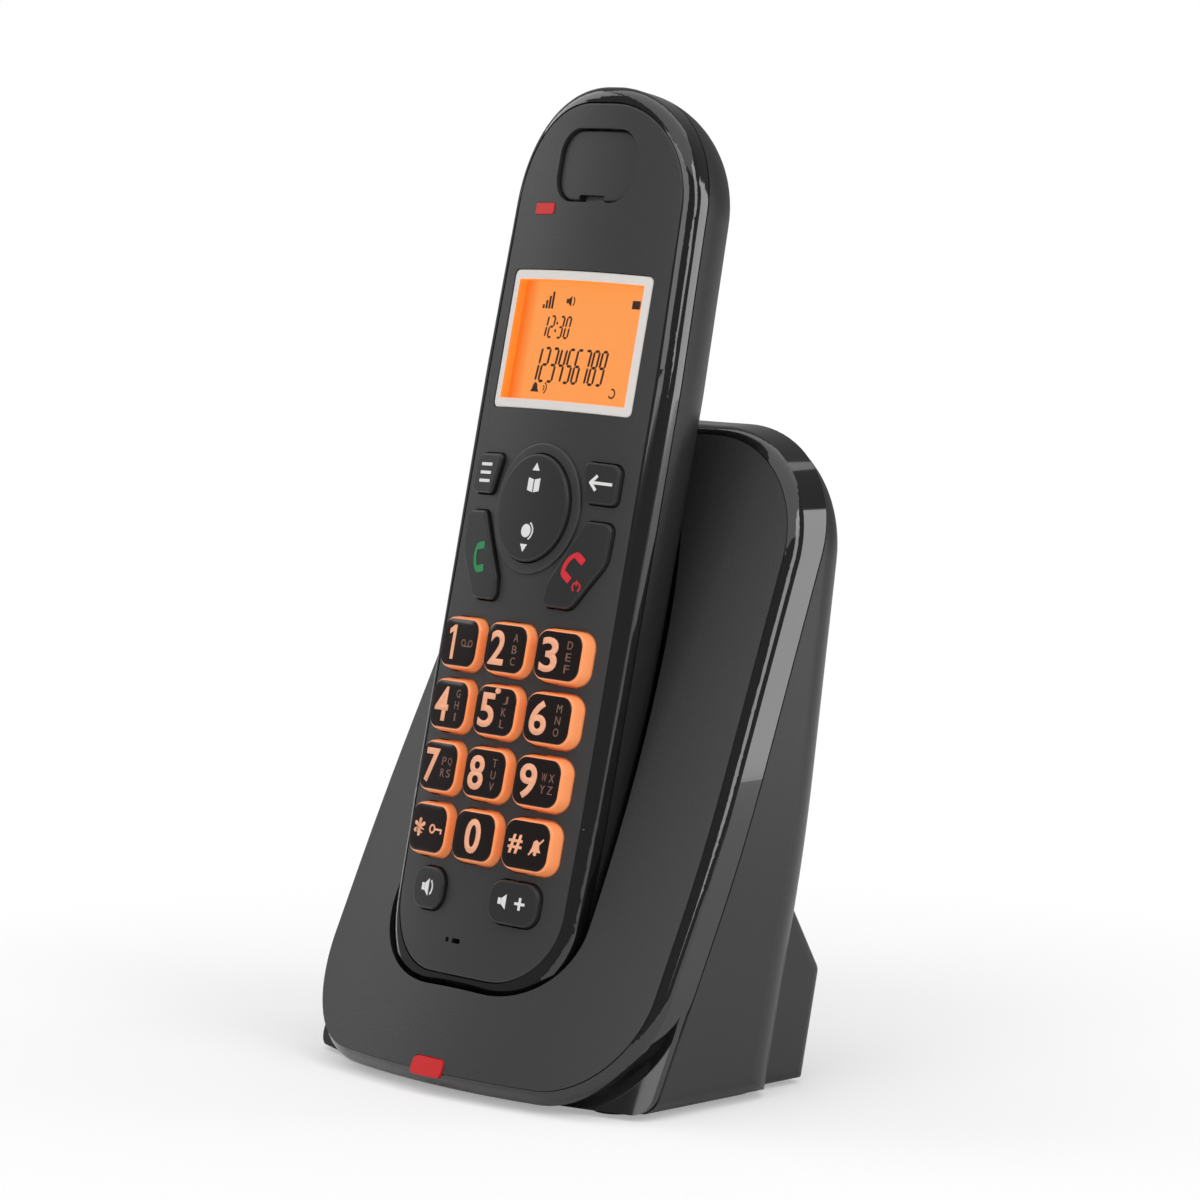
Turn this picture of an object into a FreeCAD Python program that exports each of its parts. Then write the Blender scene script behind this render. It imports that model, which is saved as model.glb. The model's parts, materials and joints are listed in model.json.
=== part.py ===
"""Cordless telephone handset standing in its desktop charging base.

Millimetres, +Z up. The phone faces -Y and is symmetric about X = 0. The origin is on the table, at the
centre of the footprint. The handset is modelled upright in its own frame (X across, Y from its face to its
back, Z along it, origin on the face at the middle of the top number row) and then leant back into the base.
"""
import FreeCAD
import Part
import math
import os

Vector = FreeCAD.Vector

# ---------------------------------------------------------------- handset body
handset_lean = 13.2            # degrees that the handset leans back in the base
handset_top = 102.0            # top end, above the top number row
handset_bottom = -64.0         # bottom end
handset_depth = 22.0           # face to back
handset_half_top = 22.6        # half width at the top end
handset_half_mid = 24.1        # half width at the display
handset_half_low = 23.9        # half width at the lower keys
handset_half_end = 23.2        # half width at the bottom end
handset_mid_z = 50.0
handset_low_z = -28.0
handset_top_radius = 22.0      # rounding of the top end, seen from the front
handset_end_radius = 17.0      # rounding of the bottom end
handset_side_radius = 150.0    # the sides bend gently at the display and at the lower keys
handset_back_radius = 16.0     # rounding of the back edges, all round
handset_edge_radius = 2.5      # rounding of the front edge, beside the cover
handset_crown_radius = 80.0    # the face is crowned across its width
handset_top_slope = 6.0         # the back draws in by this much towards the top end
handset_slope_z = 70.0
handset_slope_radius = 60.0
handset_end_back_radius = 9.0
chin_depth = 6.5               # the housing runs down past the cover as a chin
chin_slope = 0.72
chin_spread = 0.5              # the chin's outline is wider than the sides, so that it leaves them whole
chin_front_y = -10.0
handset_wall = 1.6
bezel_depth = 7.4              # the glossy bezel ends and the satin housing starts here
seam_groove = 0.3              # small groove along a seam between two mouldings

# ---------------------------------------------------------------- handset front cover
cover_top = 98.7
cover_bottom = -58.4
cover_half_top = 20.7
cover_half_mid = 21.7
cover_half_low = 21.8
cover_half_end = 21.3
cover_top_radius = 18.0
cover_end_radius = 14.0
cover_wall = 1.8
cover_edge_radius = 0.4
cover_skirt = 1.5              # thickness of the skirt that stands in the housing
cover_seat_y = 6.0             # depth at which the skirt stands on the housing's ledge
ledge_width = 1.0
seam_gap = 0.15                # between the cover and the housing

# ---------------------------------------------------------------- display
display_low = 43.1
display_high = 68.3
display_half = 18.0
display_border = 1.8
display_radius = 1.2
display_edge_radius = 0.25
display_frame_depth = 3.6
window_front = 2.5
window_thickness = 1.0
panel_thickness = 1.8
backlight_thickness = 1.2

# ---------------------------------------------------------------- earpiece, lights, microphone
ear_centre_z = 87.4
ear_half_width = 9.6
ear_half_height = 6.4
ear_radius = 4.6
ear_gap = 0.3
ear_recess = 0.7
ear_cap_thickness = 1.7
ear_slot_half = 3.3
ear_slot_height = 1.1
receiver_radius = 8.0
receiver_thickness = 3.6
message_light_x = -11.8
message_light_z = 79.4
message_light_size = (5.6, 2.0)
microphone_x = -2.8
microphone_z = -52.4
microphone_radius = 2.4
microphone_thickness = 2.6
mic_slots = ((-4.1, 0.9), (-1.7, 2.2))   # centre and width of the two slots in the cover
mic_slot_height = 0.9

# ---------------------------------------------------------------- keys
key_pitch_x = 13.0
key_pitch_z = 11.2
key_size = (11.6, 9.6)
key_radius = 2.8
key_height = 1.6               # above the face
key_crown_radius = 120.0       # the number keys are crowned less than the face
key_edge_radius = 0.5
key_gap = 0.25                 # all round, in the cover's hole
key_lip = 0.45                 # the lip below the cover that keeps a key in
key_lip_y = 4.6
key_lip_thickness = 0.7
key_travel = 0.6
function_height = 1.0          # height of the plain dark keys
nav_centre_z = 25.4
nav_half = (8.9, 9.7)
nav_height = 1.4
nav_collar = 2.1
nav_collar_height = 0.5
low_key_z = -44.0
low_key_x = 11.2
speaker_key_size = (9.0, 7.6)
volume_key_size = (11.0, 7.8)

# ---------------------------------------------------------------- inside the handset
mat_thickness = 0.8
mat_clear = 0.1                # left under a pressed key
mat_nub = 0.2
mat_nub_radius = 1.8
mat_low = -49.2
mat_high = 37.8
handset_board_thickness = 1.0
board_margin = 0.3
cell_radius = 5.25
cell_length = 44.5
cell_low = -45.9
cell_gap = 0.6
tray_wall = 0.9
tray_margin = 0.35
tray_side_height = 5.5
battery_contact_thickness = 0.4
spring_button_radius = 2.4
door_split_y = 15.0            # the battery door is the housing's back from here on
door_top_z = 4.0
door_gap = 0.15
door_travel = 4.0
speaker_radius = 10.0
speaker_thickness = 4.0
speaker_z = 34.0
speaker_slots = 5
speaker_slot_pitch = 3.2
speaker_slot_size = (12.0, 1.2)
charge_plate_x = 7.0
charge_plate_y = 7.8
charge_plate_size = (5.0, 4.4)
charge_plate_thickness = 0.8
handset_screw_x = 12.4
handset_screw_z = -52.0
screw_radius = 1.0
screw_head_radius = 1.9
screw_head_height = 1.1
screw_clearance = 0.08
boss_radius = 2.0

# ---------------------------------------------------------------- base
handset_face_z = 77.0          # height of the handset's reference point above the table
foot_height = 1.1
base_lean = 26.0               # degrees that the base's face leans back
face_foot_y = -22.6            # where the line of the face would meet the table
face_crown_radius = 150.0
base_top = 114.2
base_low = 4.3
base_half_top = 37.0
base_half_low = 42.5
base_break_z = 45.0            # the sides draw in above this height
base_break_radius = 300.0
base_top_radius = 22.0
base_low_radius = 17.0
rear_low_radius = 3.0
base_wall = 2.0
trim_depth = 8.0
trim_bulge = 1.5
trim_gap = 0.15
trim_low = 1.1
trim_low_radius = 20.0
corner_web = 1.6               # closes the housing's lower corners behind the rounder trim
trim_edge_radius = 3.0
face_wall = 2.2
rear_offset = 41.6             # handset face to the base's rear wall, square to the lean
rear_edge_radius = 9.0          # rounding of the rear wall's edges, at the sides and the top
heel_top = (39.5, 20.2)
heel_bottom_y = 35.0
heel_radius = 2.5
heel_half = 39.0
heel_edge_radius = 2.4
heel_rise = 17.0               # the heel's form runs up inside the rear wall by this much
neck_z = 33.0
neck_radius = 8.0
well_side_gap = 1.5            # handset well, round the handset
well_back_gap = 0.6
well_end_gap = 1.2
well_wall = 1.8
seat_rib_gap = 0.3
seat_rib_x = 15.0
seat_rib_width = 2.0
bottom_plate_thickness = 1.8
bottom_plate_gap = 0.2
foot_radius = 4.5
foot_places = ((32.0, -4.0), (30.0, 27.0))
foot_inset = 0.6
base_screw_places = ((36.0, 8.0), (35.0, 20.0))
base_screw_length = 9.0
base_boss_radius = 3.0
base_boss_top = 14.0

# ---------------------------------------------------------------- inside the base
board_depth = 31.0             # behind the handset's face, square to the lean
base_board_thickness = 1.6
base_board_half = 27.0
base_board_low = -63.0
base_board_high = 28.0
pin_radius = 1.2
pin_flange_radius = 1.9
pin_flange_height = 0.8
pin_gap = 0.15                 # pin to charge plate at rest
pin_fit = 0.08
carrier_size = (22.0, 5.8)
carrier_top = 7.6
carrier_lid = 0.7
carrier_floor = 0.6
spring_radius = 1.45
spring_wire = 0.18
spring_turns = 4
socket_x = 14.0
socket_low = 4.2
line_socket_size = (13.0, 12.0)
line_plug_hole = (9.8, 7.0)
line_plug_depth = 12.5
latch_slot_half = 1.6
latch_slot_height = 1.4
power_socket_size = (9.0, 10.0)
power_hole_radius = 2.9
power_pin_radius = 1.0
power_depth = 9.0
socket_gap = 0.2
socket_back_y = 36.6
base_light_half = 4.0
base_light_height = 3.0
base_light_depth = 7.0
base_light_z = 4.9
base_light_proud = 0.25
light_guide_gap = 0.12
page_key_z = 14.0
page_key_radius = 4.5
page_key_proud = 0.8
page_key_gap = 0.2
page_key_lip = 0.9
page_key_lip_thickness = 0.8
page_key_travel = 0.5
page_switch_height = 2.8
page_stem_radius = 1.6

touch_gap = 0.05               # between pieces that stand on each other with a hair's room
thin_gap = 0.1
far = 300.0


# ================================================================ drawing helpers
def rounded_loop(points, radii):
    """Start, middle and end of each corner's arc, which takes at most half of the shorter side by it."""
    count = len(points)
    cuts = []
    for i in range(count):
        here = Vector(points[i][0], points[i][1], 0)
        back = Vector(points[i - 1][0], points[i - 1][1], 0) - here
        ahead = Vector(points[(i + 1) % count][0], points[(i + 1) % count][1], 0) - here
        room = min(back.Length, ahead.Length) / 2.0
        back.normalize()
        ahead.normalize()
        if radii[i] <= 0:
            cuts.append((here, None, here))
            continue
        half = back.getAngle(ahead) / 2.0
        reach = min(radii[i] / math.tan(half), room)
        radius = reach * math.tan(half)
        inward = back + ahead
        inward.normalize()
        middle = here + inward * (radius / math.sin(half) - radius)
        cuts.append((here + back * reach, middle, here + ahead * reach))
    return cuts


def rounded_wire(points, radii, place):
    """Wire of the rounded polygon; place maps the two drawing coordinates into space."""
    cuts = rounded_loop(points, radii)
    edges = []
    for i, (start, middle, end) in enumerate(cuts):
        if middle is not None:
            edges.append(Part.Arc(place(start), place(middle), place(end)).toShape())
        following = cuts[(i + 1) % len(cuts)][0]
        if (following - end).Length > 1e-6:
            edges.append(Part.LineSegment(place(end), place(following)).toShape())
    return Part.Wire(edges)


def front_prism(points, radii, low_y, high_y):
    """Prism along Y of an outline drawn in X and Z."""
    wire = rounded_wire(points, radii, lambda p: Vector(p.x, low_y, p.y))
    return Part.Face(wire).extrude(Vector(0, high_y - low_y, 0))


def side_prism(points, radii, half_width):
    """Prism along X, from -half_width to half_width, of an outline drawn in Y and Z."""
    wire = rounded_wire(points, radii, lambda p: Vector(-half_width, p.x, p.y))
    return Part.Face(wire).extrude(Vector(2 * half_width, 0, 0))


def plan_prism(points, radii, low_z, high_z):
    """Prism along Z of an outline drawn in X and Y."""
    wire = rounded_wire(points, radii, lambda p: Vector(p.x, p.y, low_z))
    return Part.Face(wire).extrude(Vector(0, 0, high_z - low_z))


def mirrored(right_side):
    """Closed outline from its right-hand points, listed from the top down."""
    return right_side + [(-x, z) for x, z in reversed(right_side)]


def rectangle(half_a, half_b, a=0.0, b=0.0):
    high, low = b + half_b, b - half_b
    return [(a + half_a, high), (a + half_a, low), (a - half_a, low), (a - half_a, high)]


def block(low, high):
    return Part.makeBox(high[0] - low[0], high[1] - low[1], high[2] - low[2], Vector(*low))


def rod_y(radius, x, z, low_y, high_y):
    return Part.makeCylinder(radius, high_y - low_y, Vector(x, low_y, z), Vector(0, 1, 0))


def rod_z(radius, x, y, low_z, high_z):
    return Part.makeCylinder(radius, high_z - low_z, Vector(x, y, low_z), Vector(0, 0, 1))


def slab(low_y, high_y):
    """Everything between two depths."""
    return block((-far, low_y, -far), (far, high_y, far))


def band_z(low_z, high_z):
    return block((-far, -far, low_z), (far, far, high_z))


def eased(solid, crown_radius, edge_radius):
    """Rounds the edges round a solid's crowned front face, which has that radius."""
    for face in solid.Faces:
        surface = face.Surface
        if isinstance(surface, Part.Cylinder) and abs(surface.Radius - crown_radius) < 1e-6:
            return solid.makeFillet(edge_radius, face.Edges)
    return solid


def both_sides(make, x):
    return [make(x), make(-x)]


# ================================================================ handset forms
def crown(below=0.0):
    """The solid behind the handset's crowned face, or behind the same face set back."""
    radius = handset_crown_radius - below
    return Part.makeCylinder(radius, 2 * far, Vector(0, handset_crown_radius, -far), Vector(0, 0, 1))


def crown_y(x, below=0.0):
    radius = handset_crown_radius - below
    return handset_crown_radius - math.sqrt(radius ** 2 - x ** 2)


def chin_form(half, bottom, radius, back_y):
    """Rounded lower end, open at the top, whose front part slopes up as a chin along its outline."""
    rise = (chin_depth - chin_front_y) * chin_slope
    points = mirrored([(half, far), (half, bottom)])
    radii = [0, radius, radius, 0]
    lifted = mirrored([(half, far), (half, bottom + rise)])
    wire = rounded_wire(lifted, radii, lambda p: Vector(p.x, chin_front_y, p.y))
    sloping = Part.Face(wire).extrude(Vector(0, chin_depth - chin_front_y, -rise))
    return sloping.fuse(front_prism(points, radii, chin_depth, back_y))


def handset_room(grow, back, end):
    """Space round the handset, grown all round and open at the top, that it slides out of."""
    widest = max(handset_half_top, handset_half_mid, handset_half_low) + grow
    bottom = handset_bottom - end
    back_y = handset_depth + back
    outline = chin_form(widest, bottom, handset_end_radius + grow, back_y)
    back_radius = handset_back_radius + grow
    across = plan_prism([(widest, -far), (-widest, -far), (-widest, back_y), (widest, back_y)],
                        [0, 0, back_radius, back_radius], -far / 2, far / 2)
    profile = [(chin_front_y, far), (back_y, far), (back_y, bottom), (chin_front_y, bottom)]
    along = side_prism(profile, [0, 0, handset_end_back_radius + grow, 0], 60.0)
    return outline.common(across).common(along)


def handset_chin(grow):
    wider = grow + chin_spread
    return chin_form(handset_half_mid + wider, handset_bottom - grow, handset_end_radius + wider,
                     handset_depth + grow + 1)


def handset_form(grow=0.0):
    """Outer form of the handset, grown all round: a flat prism with its back edges rounded."""
    high = handset_top + grow
    bottom = handset_bottom - grow
    back_y = handset_depth + grow
    right = [(handset_half_top + grow, high), (handset_half_mid + grow, handset_mid_z),
             (handset_half_low + grow, handset_low_z), (handset_half_end + grow, bottom)]
    radii = [handset_top_radius + grow, handset_side_radius, handset_side_radius,
             handset_end_radius + grow]
    prism = front_prism(mirrored(right), radii + radii[::-1], chin_front_y, back_y)
    back_face = max(prism.Faces, key=lambda face: face.CenterOfMass.y)
    prism = prism.makeFillet(handset_back_radius + grow - thin_gap, back_face.Edges)
    top_y = back_y - handset_top_slope
    profile = [(chin_front_y, high + 1), (top_y, high + 1), (back_y, handset_slope_z), (back_y, bottom),
               (chin_front_y, bottom)]
    along = side_prism(profile, [0, 0, handset_slope_radius, handset_end_back_radius + grow, 0], 60.0)
    return prism.common(along)


def cover_outline(grow, low_y, high_y):
    right = [(cover_half_top + grow, cover_top + grow), (cover_half_mid + grow, handset_mid_z),
             (cover_half_low + grow, handset_low_z), (cover_half_end + grow, cover_bottom - grow)]
    radii = [cover_top_radius + grow, handset_side_radius, handset_side_radius, cover_end_radius + grow]
    return front_prism(mirrored(right), radii + radii[::-1], low_y, high_y)


def soft_block(half, centre, radius, low_y, high_y):
    """Prism along Y of a rounded rectangle."""
    return front_prism(rectangle(half[0], half[1], centre[0], centre[1]), [radius] * 4, low_y, high_y)


# ================================================================ keys
def number_places():
    """Name, x and z of the twelve number keys."""
    names = ["key_1", "key_2", "key_3", "key_4", "key_5", "key_6",
             "key_7", "key_8", "key_9", "key_star", "key_0", "key_hash"]
    return [(name, (i % 3 - 1) * key_pitch_x, -(i // 3) * key_pitch_z) for i, name in enumerate(names)]


def number_outline(x, z):
    def outline(grow):
        half = (key_size[0] / 2 + grow, key_size[1] / 2 + grow)
        return rectangle(half[0], half[1], x, z), [key_radius + grow] * 4
    return outline


def box_outline(size, x, z, radius):
    def outline(grow):
        return rectangle(size[0] / 2 + grow, size[1] / 2 + grow, x, z), [radius + grow] * 4
    return outline


def nav_ellipse(grow, low_y, high_y):
    """The navigation key's oval, taller than it is wide."""
    long_half = nav_half[1] + grow
    short_half = nav_half[0] + grow
    oval = Part.Ellipse(Vector(0, low_y, nav_centre_z + long_half),
                        Vector(short_half, low_y, nav_centre_z), Vector(0, low_y, nav_centre_z))
    return Part.Face(Part.Wire(oval.toShape())).extrude(Vector(0, high_y - low_y, 0))


def menu_outline(side):
    """Menu key: a small tablet whose inner side leans with the navigation key."""
    def outline(grow):
        inner_high, inner_low, outer = 10.6 - grow, 12.4 - grow, 18.6 + grow
        high, low = 34.6 + grow, 27.3 - grow
        points = [(inner_high * side, high), (outer * side, high),
                  (outer * side, low), (inner_low * side, low)]
        return points, [1.0 + grow, 1.8 + grow, 1.2 + grow, 1.0 + grow]
    return outline


def talk_outline(side):
    """Call or end key: a wing below the navigation key, drawn in towards the middle."""
    def outline(grow):
        points = [(13.2 * side - grow * side, 24.2 + grow), (18.8 * side + grow * side, 24.2 + grow),
                  (18.6 * side + grow * side, 17.0), (12.6 * side + grow * side * 0.7, 8.3 - grow),
                  (6.0 * side - grow * side, 8.3 - grow), (6.6 * side - grow * side, 12.6 + grow)]
        return points, [1.2 + grow, 1.6 + grow, 5.0 + grow, 2.4 + grow, 1.4 + grow, 2.5]
    return outline


def key_prism(outline, grow, low_y, high_y):
    points, radii = outline(grow)
    return front_prism(points, radii, low_y, high_y)


def plain_keys():
    """Name and outline of every key that travels straight in, apart from the number keys."""
    return [("key_menu_left", menu_outline(-1)), ("key_menu_right", menu_outline(1)),
            ("key_call", talk_outline(-1)), ("key_end", talk_outline(1)),
            ("key_loudspeaker", box_outline(speaker_key_size, -low_key_x, low_key_z, 3.2)),
            ("key_volume", box_outline(volume_key_size, low_key_x, low_key_z, 2.8))]


def key_solid(outline, height):
    """Crowned key standing in its hole, with its lip below the cover."""
    body = key_prism(outline, 0.0, -far / 4, key_lip_y).common(crown(-height))
    body = eased(body, handset_crown_radius + height, key_edge_radius)
    lip = key_prism(outline, key_lip, key_lip_y, key_lip_y + key_lip_thickness)
    return body.fuse(lip).removeSplitter()


def number_key_solid(outline):
    """Number key: crowned less than the face, so that the outer columns stand taller at the sides."""
    top = Part.makeCylinder(key_crown_radius, 2 * far, Vector(0, key_crown_radius - key_height, -far),
                            Vector(0, 0, 1))
    body = key_prism(outline, 0.0, -far / 4, key_lip_y).common(top)
    body = eased(body, key_crown_radius, key_edge_radius)
    lip = key_prism(outline, key_lip, key_lip_y, key_lip_y + key_lip_thickness)
    return body.fuse(lip).removeSplitter()


def key_lip_end():
    return key_lip_y + key_lip_thickness


def mat_top():
    return key_lip_end() + key_travel + mat_clear + mat_nub


def board_front():
    return mat_top() + mat_thickness


def board_back():
    return board_front() + handset_board_thickness


def make_keys():
    nodes = {}
    for name, x, z in number_places():
        nodes[name] = number_key_solid(number_outline(x, z))
    for name, outline in plain_keys():
        nodes[name] = key_solid(outline, function_height)
    body = nav_ellipse(0.0, -far / 4, key_lip_y).common(crown(-nav_height))
    body = eased(body, handset_crown_radius + nav_height, key_edge_radius)
    lip = nav_ellipse(key_lip, key_lip_y, key_lip_end())
    nodes["key_navigation"] = body.fuse(lip).removeSplitter()
    return nodes


# ================================================================ handset pieces
def make_front_cover():
    cover = cover_outline(0.0, -5.0, cover_seat_y).common(crown())
    cover = eased(cover, handset_crown_radius, cover_edge_radius)
    hollow = cover_outline(-cover_skirt, -6.0, far / 4).common(crown(cover_wall))
    cover = cover.cut(hollow)
    collar = nav_ellipse(nav_collar, -far / 4, crown_y(0) + 1.0).common(crown(-nav_collar_height))
    collar = eased(collar, handset_crown_radius + nav_collar_height, cover_edge_radius)
    cover = cover.fuse(collar)
    for side in (-1, 1):
        post = rod_y(boss_radius, side * handset_screw_x, handset_screw_z,
                     cover_wall, board_front() - touch_gap)
        cover = cover.fuse(post.common(crown(0.3)))
    cuts = [key_prism(number_outline(x, z), key_gap, -5, key_lip_y) for _, x, z in number_places()]
    cuts += [key_prism(outline, key_gap, -5, key_lip_y) for _, outline in plain_keys()]
    cuts.append(nav_ellipse(key_gap, -5, key_lip_y))
    half = (display_half + thin_gap, (display_high - display_low) / 2 + thin_gap)
    middle = (0, (display_high + display_low) / 2)
    cuts.append(soft_block(half, middle, display_radius, -5, cover_seat_y))
    cuts.append(soft_block((ear_half_width + ear_gap, ear_half_height + ear_gap), (0, ear_centre_z),
                           ear_radius + ear_gap, -5, cover_seat_y))
    light = (message_light_size[0] / 2 + thin_gap, message_light_size[1] / 2 + thin_gap)
    cuts.append(soft_block(light, (message_light_x, message_light_z), 0.5, -5, cover_seat_y))
    for centre, width in mic_slots:
        slot = (width / 2, mic_slot_height / 2)
        cuts.append(soft_block(slot, (centre, microphone_z), 0.3, -5, 3.0))
    for side in (-1, 1):
        cuts.append(rod_y(screw_radius + screw_clearance, side * handset_screw_x, handset_screw_z,
                          cover_wall + 1.0, far / 4))
    for cut in cuts:
        cover = cover.cut(cut)
    return cover


def screw_seat_y():
    """Depth at which the screw heads stand, just under the battery door."""
    return door_split_y - screw_head_height - 0.5


def door_zone(gap):
    return slab(door_split_y - gap, far).common(band_z(-far, door_top_z + gap))


def make_housing():
    """Glossy bezel round the cover, and the satin housing behind it."""
    form = eased(handset_form().common(crown()), handset_crown_radius, handset_edge_radius)
    form = form.common(handset_chin(0.0))
    inner = handset_form(-handset_wall).common(slab(bezel_depth, far))
    shell = form.cut(inner)
    shell = shell.cut(cover_outline(seam_gap, -20, cover_seat_y))
    shell = shell.cut(cover_outline(-ledge_width, cover_seat_y - 1, bezel_depth))
    shell = shell.cut(door_zone(0.0))
    for side in (-1, 1):
        shell = shell.cut(charge_plate_box(side * charge_plate_x, 0.06))
    bezel = shell.common(slab(-far, bezel_depth))
    rim = handset_form(1.0).cut(handset_form(-seam_groove))
    bezel = bezel.cut(rim.common(slab(bezel_depth - seam_groove, bezel_depth)))
    housing = shell.common(slab(bezel_depth, far))
    for row in range(speaker_slots):
        z = speaker_z + (row - (speaker_slots - 1) / 2) * speaker_slot_pitch
        half = (speaker_slot_size[0] / 2, speaker_slot_size[1] / 2)
        housing = housing.cut(soft_block(half, (0, z), 0.55, handset_depth - 4, handset_depth + 1))
    floor = screw_seat_y()
    for x in (-handset_screw_x, handset_screw_x):
        pillar = rod_y(boss_radius + 0.6, x, handset_screw_z, board_back() + touch_gap, floor)
        web = block((x - 1.2, board_back() + 0.6, handset_bottom + handset_wall - 0.5),
                    (x + 1.2, floor, handset_screw_z)).common(handset_form(-0.5))
        housing = housing.fuse(pillar).fuse(web)
        housing = housing.cut(rod_y(screw_radius + screw_clearance, x, handset_screw_z, 0, far / 4))
    return {"handset_bezel": bezel.removeSplitter(), "handset_housing": housing.removeSplitter()}


def charge_plate_box(x, gap):
    half_x = charge_plate_size[0] / 2 + gap
    half_y = charge_plate_size[1] / 2 + gap
    top = handset_bottom + handset_wall + 0.5
    return block((x - half_x, charge_plate_y - half_y, handset_bottom - (1.0 if gap else 0.0)),
                 (x + half_x, charge_plate_y + half_y, top))


def make_charge_plates():
    """Two plated contacts let into the handset's bottom end."""
    plates = []
    for x in (-charge_plate_x, charge_plate_x):
        plates.append(charge_plate_box(x, 0.0).common(handset_form()))
    return Part.makeCompound(plates)


def make_door():
    """Battery door: the lower back of the housing, which slides down off the cells."""
    shell = handset_form().cut(handset_form(-handset_wall))
    return shell.common(door_zone(-door_gap))


def make_display():
    middle = (0, (display_high + display_low) / 2)
    half = (display_half, (display_high - display_low) / 2)
    inner = (half[0] - display_border, half[1] - display_border)
    surround = soft_block(half, middle, display_radius, -5, display_frame_depth).common(crown(thin_gap))
    surround = eased(surround, handset_crown_radius - thin_gap, display_edge_radius)
    surround = surround.cut(soft_block(inner, middle, 0.6, -5, display_frame_depth))
    window = soft_block((inner[0] - touch_gap, inner[1] - touch_gap), middle, 0.55,
                        window_front, window_front + window_thickness)
    panel_half = (half[0] - 0.3, half[1] - 0.3)
    panel_front = display_frame_depth + touch_gap
    light_front = panel_front + panel_thickness
    panel = soft_block(panel_half, middle, 0.5, panel_front, light_front)
    backlight = soft_block(panel_half, middle, 0.5, light_front, board_front())
    return {"display_surround": surround, "display_window": window,
            "display_panel": panel, "display_backlight": backlight}


def make_earpiece():
    cap_back = ear_recess + ear_cap_thickness
    cap = soft_block((ear_half_width, ear_half_height), (0, ear_centre_z), ear_radius, -5, cap_back)
    slot_z = ear_centre_z - ear_half_height + ear_slot_height / 2
    slot = soft_block((ear_slot_half, ear_slot_height / 2), (0, slot_z), 0.4, -5, far / 4)
    cap = eased(cap.common(crown(ear_recess)), handset_crown_radius - ear_recess, cover_edge_radius)
    cap = cap.cut(slot)
    start = cap_back + 0.2
    end = start + receiver_thickness
    receiver = rod_y(receiver_radius, 0, ear_centre_z, start, end)
    magnet = rod_y(receiver_radius * 0.55, 0, ear_centre_z, end, board_front() - touch_gap)
    return {"earpiece_cap": cap, "receiver": receiver.fuse(magnet)}


def make_handset_small_parts():
    half = (message_light_size[0] / 2, message_light_size[1] / 2)
    light = soft_block(half, (message_light_x, message_light_z), 0.4, -5, board_front() - touch_gap)
    light = light.common(crown(-0.15))
    microphone = rod_y(microphone_radius, microphone_x, microphone_z,
                       board_front() - microphone_thickness, board_front() - 0.02)
    speaker_front = handset_depth - handset_wall - 0.2 - speaker_thickness
    basket = rod_y(speaker_radius, 0, speaker_z, speaker_front, speaker_front + speaker_thickness)
    magnet = rod_y(speaker_radius * 0.5, 0, speaker_z, board_back() + 0.25, speaker_front)
    return {"message_light_guide": light, "microphone": microphone,
            "hands_free_loudspeaker": basket.fuse(magnet)}


def make_keypad_mat():
    """Silicone mat behind the keys, with a nub under each key."""
    mat = cover_outline(-cover_skirt - 0.3, mat_top(), board_front()).common(band_z(mat_low, mat_high))
    places = [(x, z) for _, x, z in number_places()]
    for side in (-1, 1):
        places += [(side * low_key_x, low_key_z), (side * 15.0, 31.0), (side * 12.8, 15.2)]
        mat = mat.cut(rod_y(boss_radius + 0.4, side * handset_screw_x, handset_screw_z, 0, far / 4))
    for x, z in places:
        mat = mat.fuse(rod_y(mat_nub_radius, x, z, mat_top() - mat_nub, mat_top()))
    return mat.removeSplitter()


def make_handset_board():
    board = cover_outline(-ledge_width - board_margin, board_front(), board_back())
    for side in (-1, 1):
        board = board.cut(rod_y(screw_radius + 0.2, side * handset_screw_x, handset_screw_z, 0, far / 4))
    radio = block((-9, board_back(), 56), (9, board_back() + 2.2, 78))
    chip = block((-6, board_back(), 8), (6, board_back() + 1.2, 20))
    return board.fuse(radio).fuse(chip).removeSplitter()


def tray_floor():
    return board_back() + thin_gap + tray_wall


def cell_y():
    return tray_floor() + tray_margin + cell_radius


def cell_x():
    return cell_radius + cell_gap / 2


def make_battery():
    """Tray behind the board, two cells side by side in it, and their contacts."""
    half = cell_x() + cell_radius + tray_margin
    low = cell_low - 2.2
    high = cell_low + cell_length + 0.6
    outer = block((-half - tray_wall, tray_floor() - tray_wall, low - tray_wall),
                  (half + tray_wall, tray_floor() + tray_side_height, high + tray_wall))
    tray = outer.cut(block((-half, tray_floor(), low), (half, far, high)))
    cells = []
    contacts = []
    shoulder = cell_low + cell_length - 1.0
    plate_y = tray_floor() + 0.3
    for x in (-cell_x(), cell_x()):
        cell = rod_z(cell_radius, x, cell_y(), cell_low, shoulder)
        cells.append(cell.fuse(rod_z(1.9, x, cell_y(), shoulder, cell_low + cell_length)))
        lower_top = low + battery_contact_thickness
        lower = block((x - 3.6, plate_y, low), (x + 3.6, plate_y + 7.0, lower_top))
        button = Part.makeCone(spring_button_radius + 0.9, spring_button_radius - 0.6,
                               cell_low - lower_top - touch_gap, Vector(x, cell_y(), lower_top))
        contacts.append(lower.fuse(button))
        contacts.append(block((x - 3.6, plate_y, high - battery_contact_thickness),
                              (x + 3.6, plate_y + 7.0, high)))
    return {"battery_tray": tray, "battery_cells": Part.makeCompound(cells),
            "battery_contacts": Part.makeCompound(contacts)}


def crossed_slots(x, z, low_y):
    """Cross recess in a screw head on the handset's back."""
    return [block((x - 1.3, low_y, z - 0.25), (x + 1.3, far, z + 0.25)),
            block((x - 0.25, low_y, z - 1.3), (x + 0.25, far, z + 1.3))]


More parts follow.
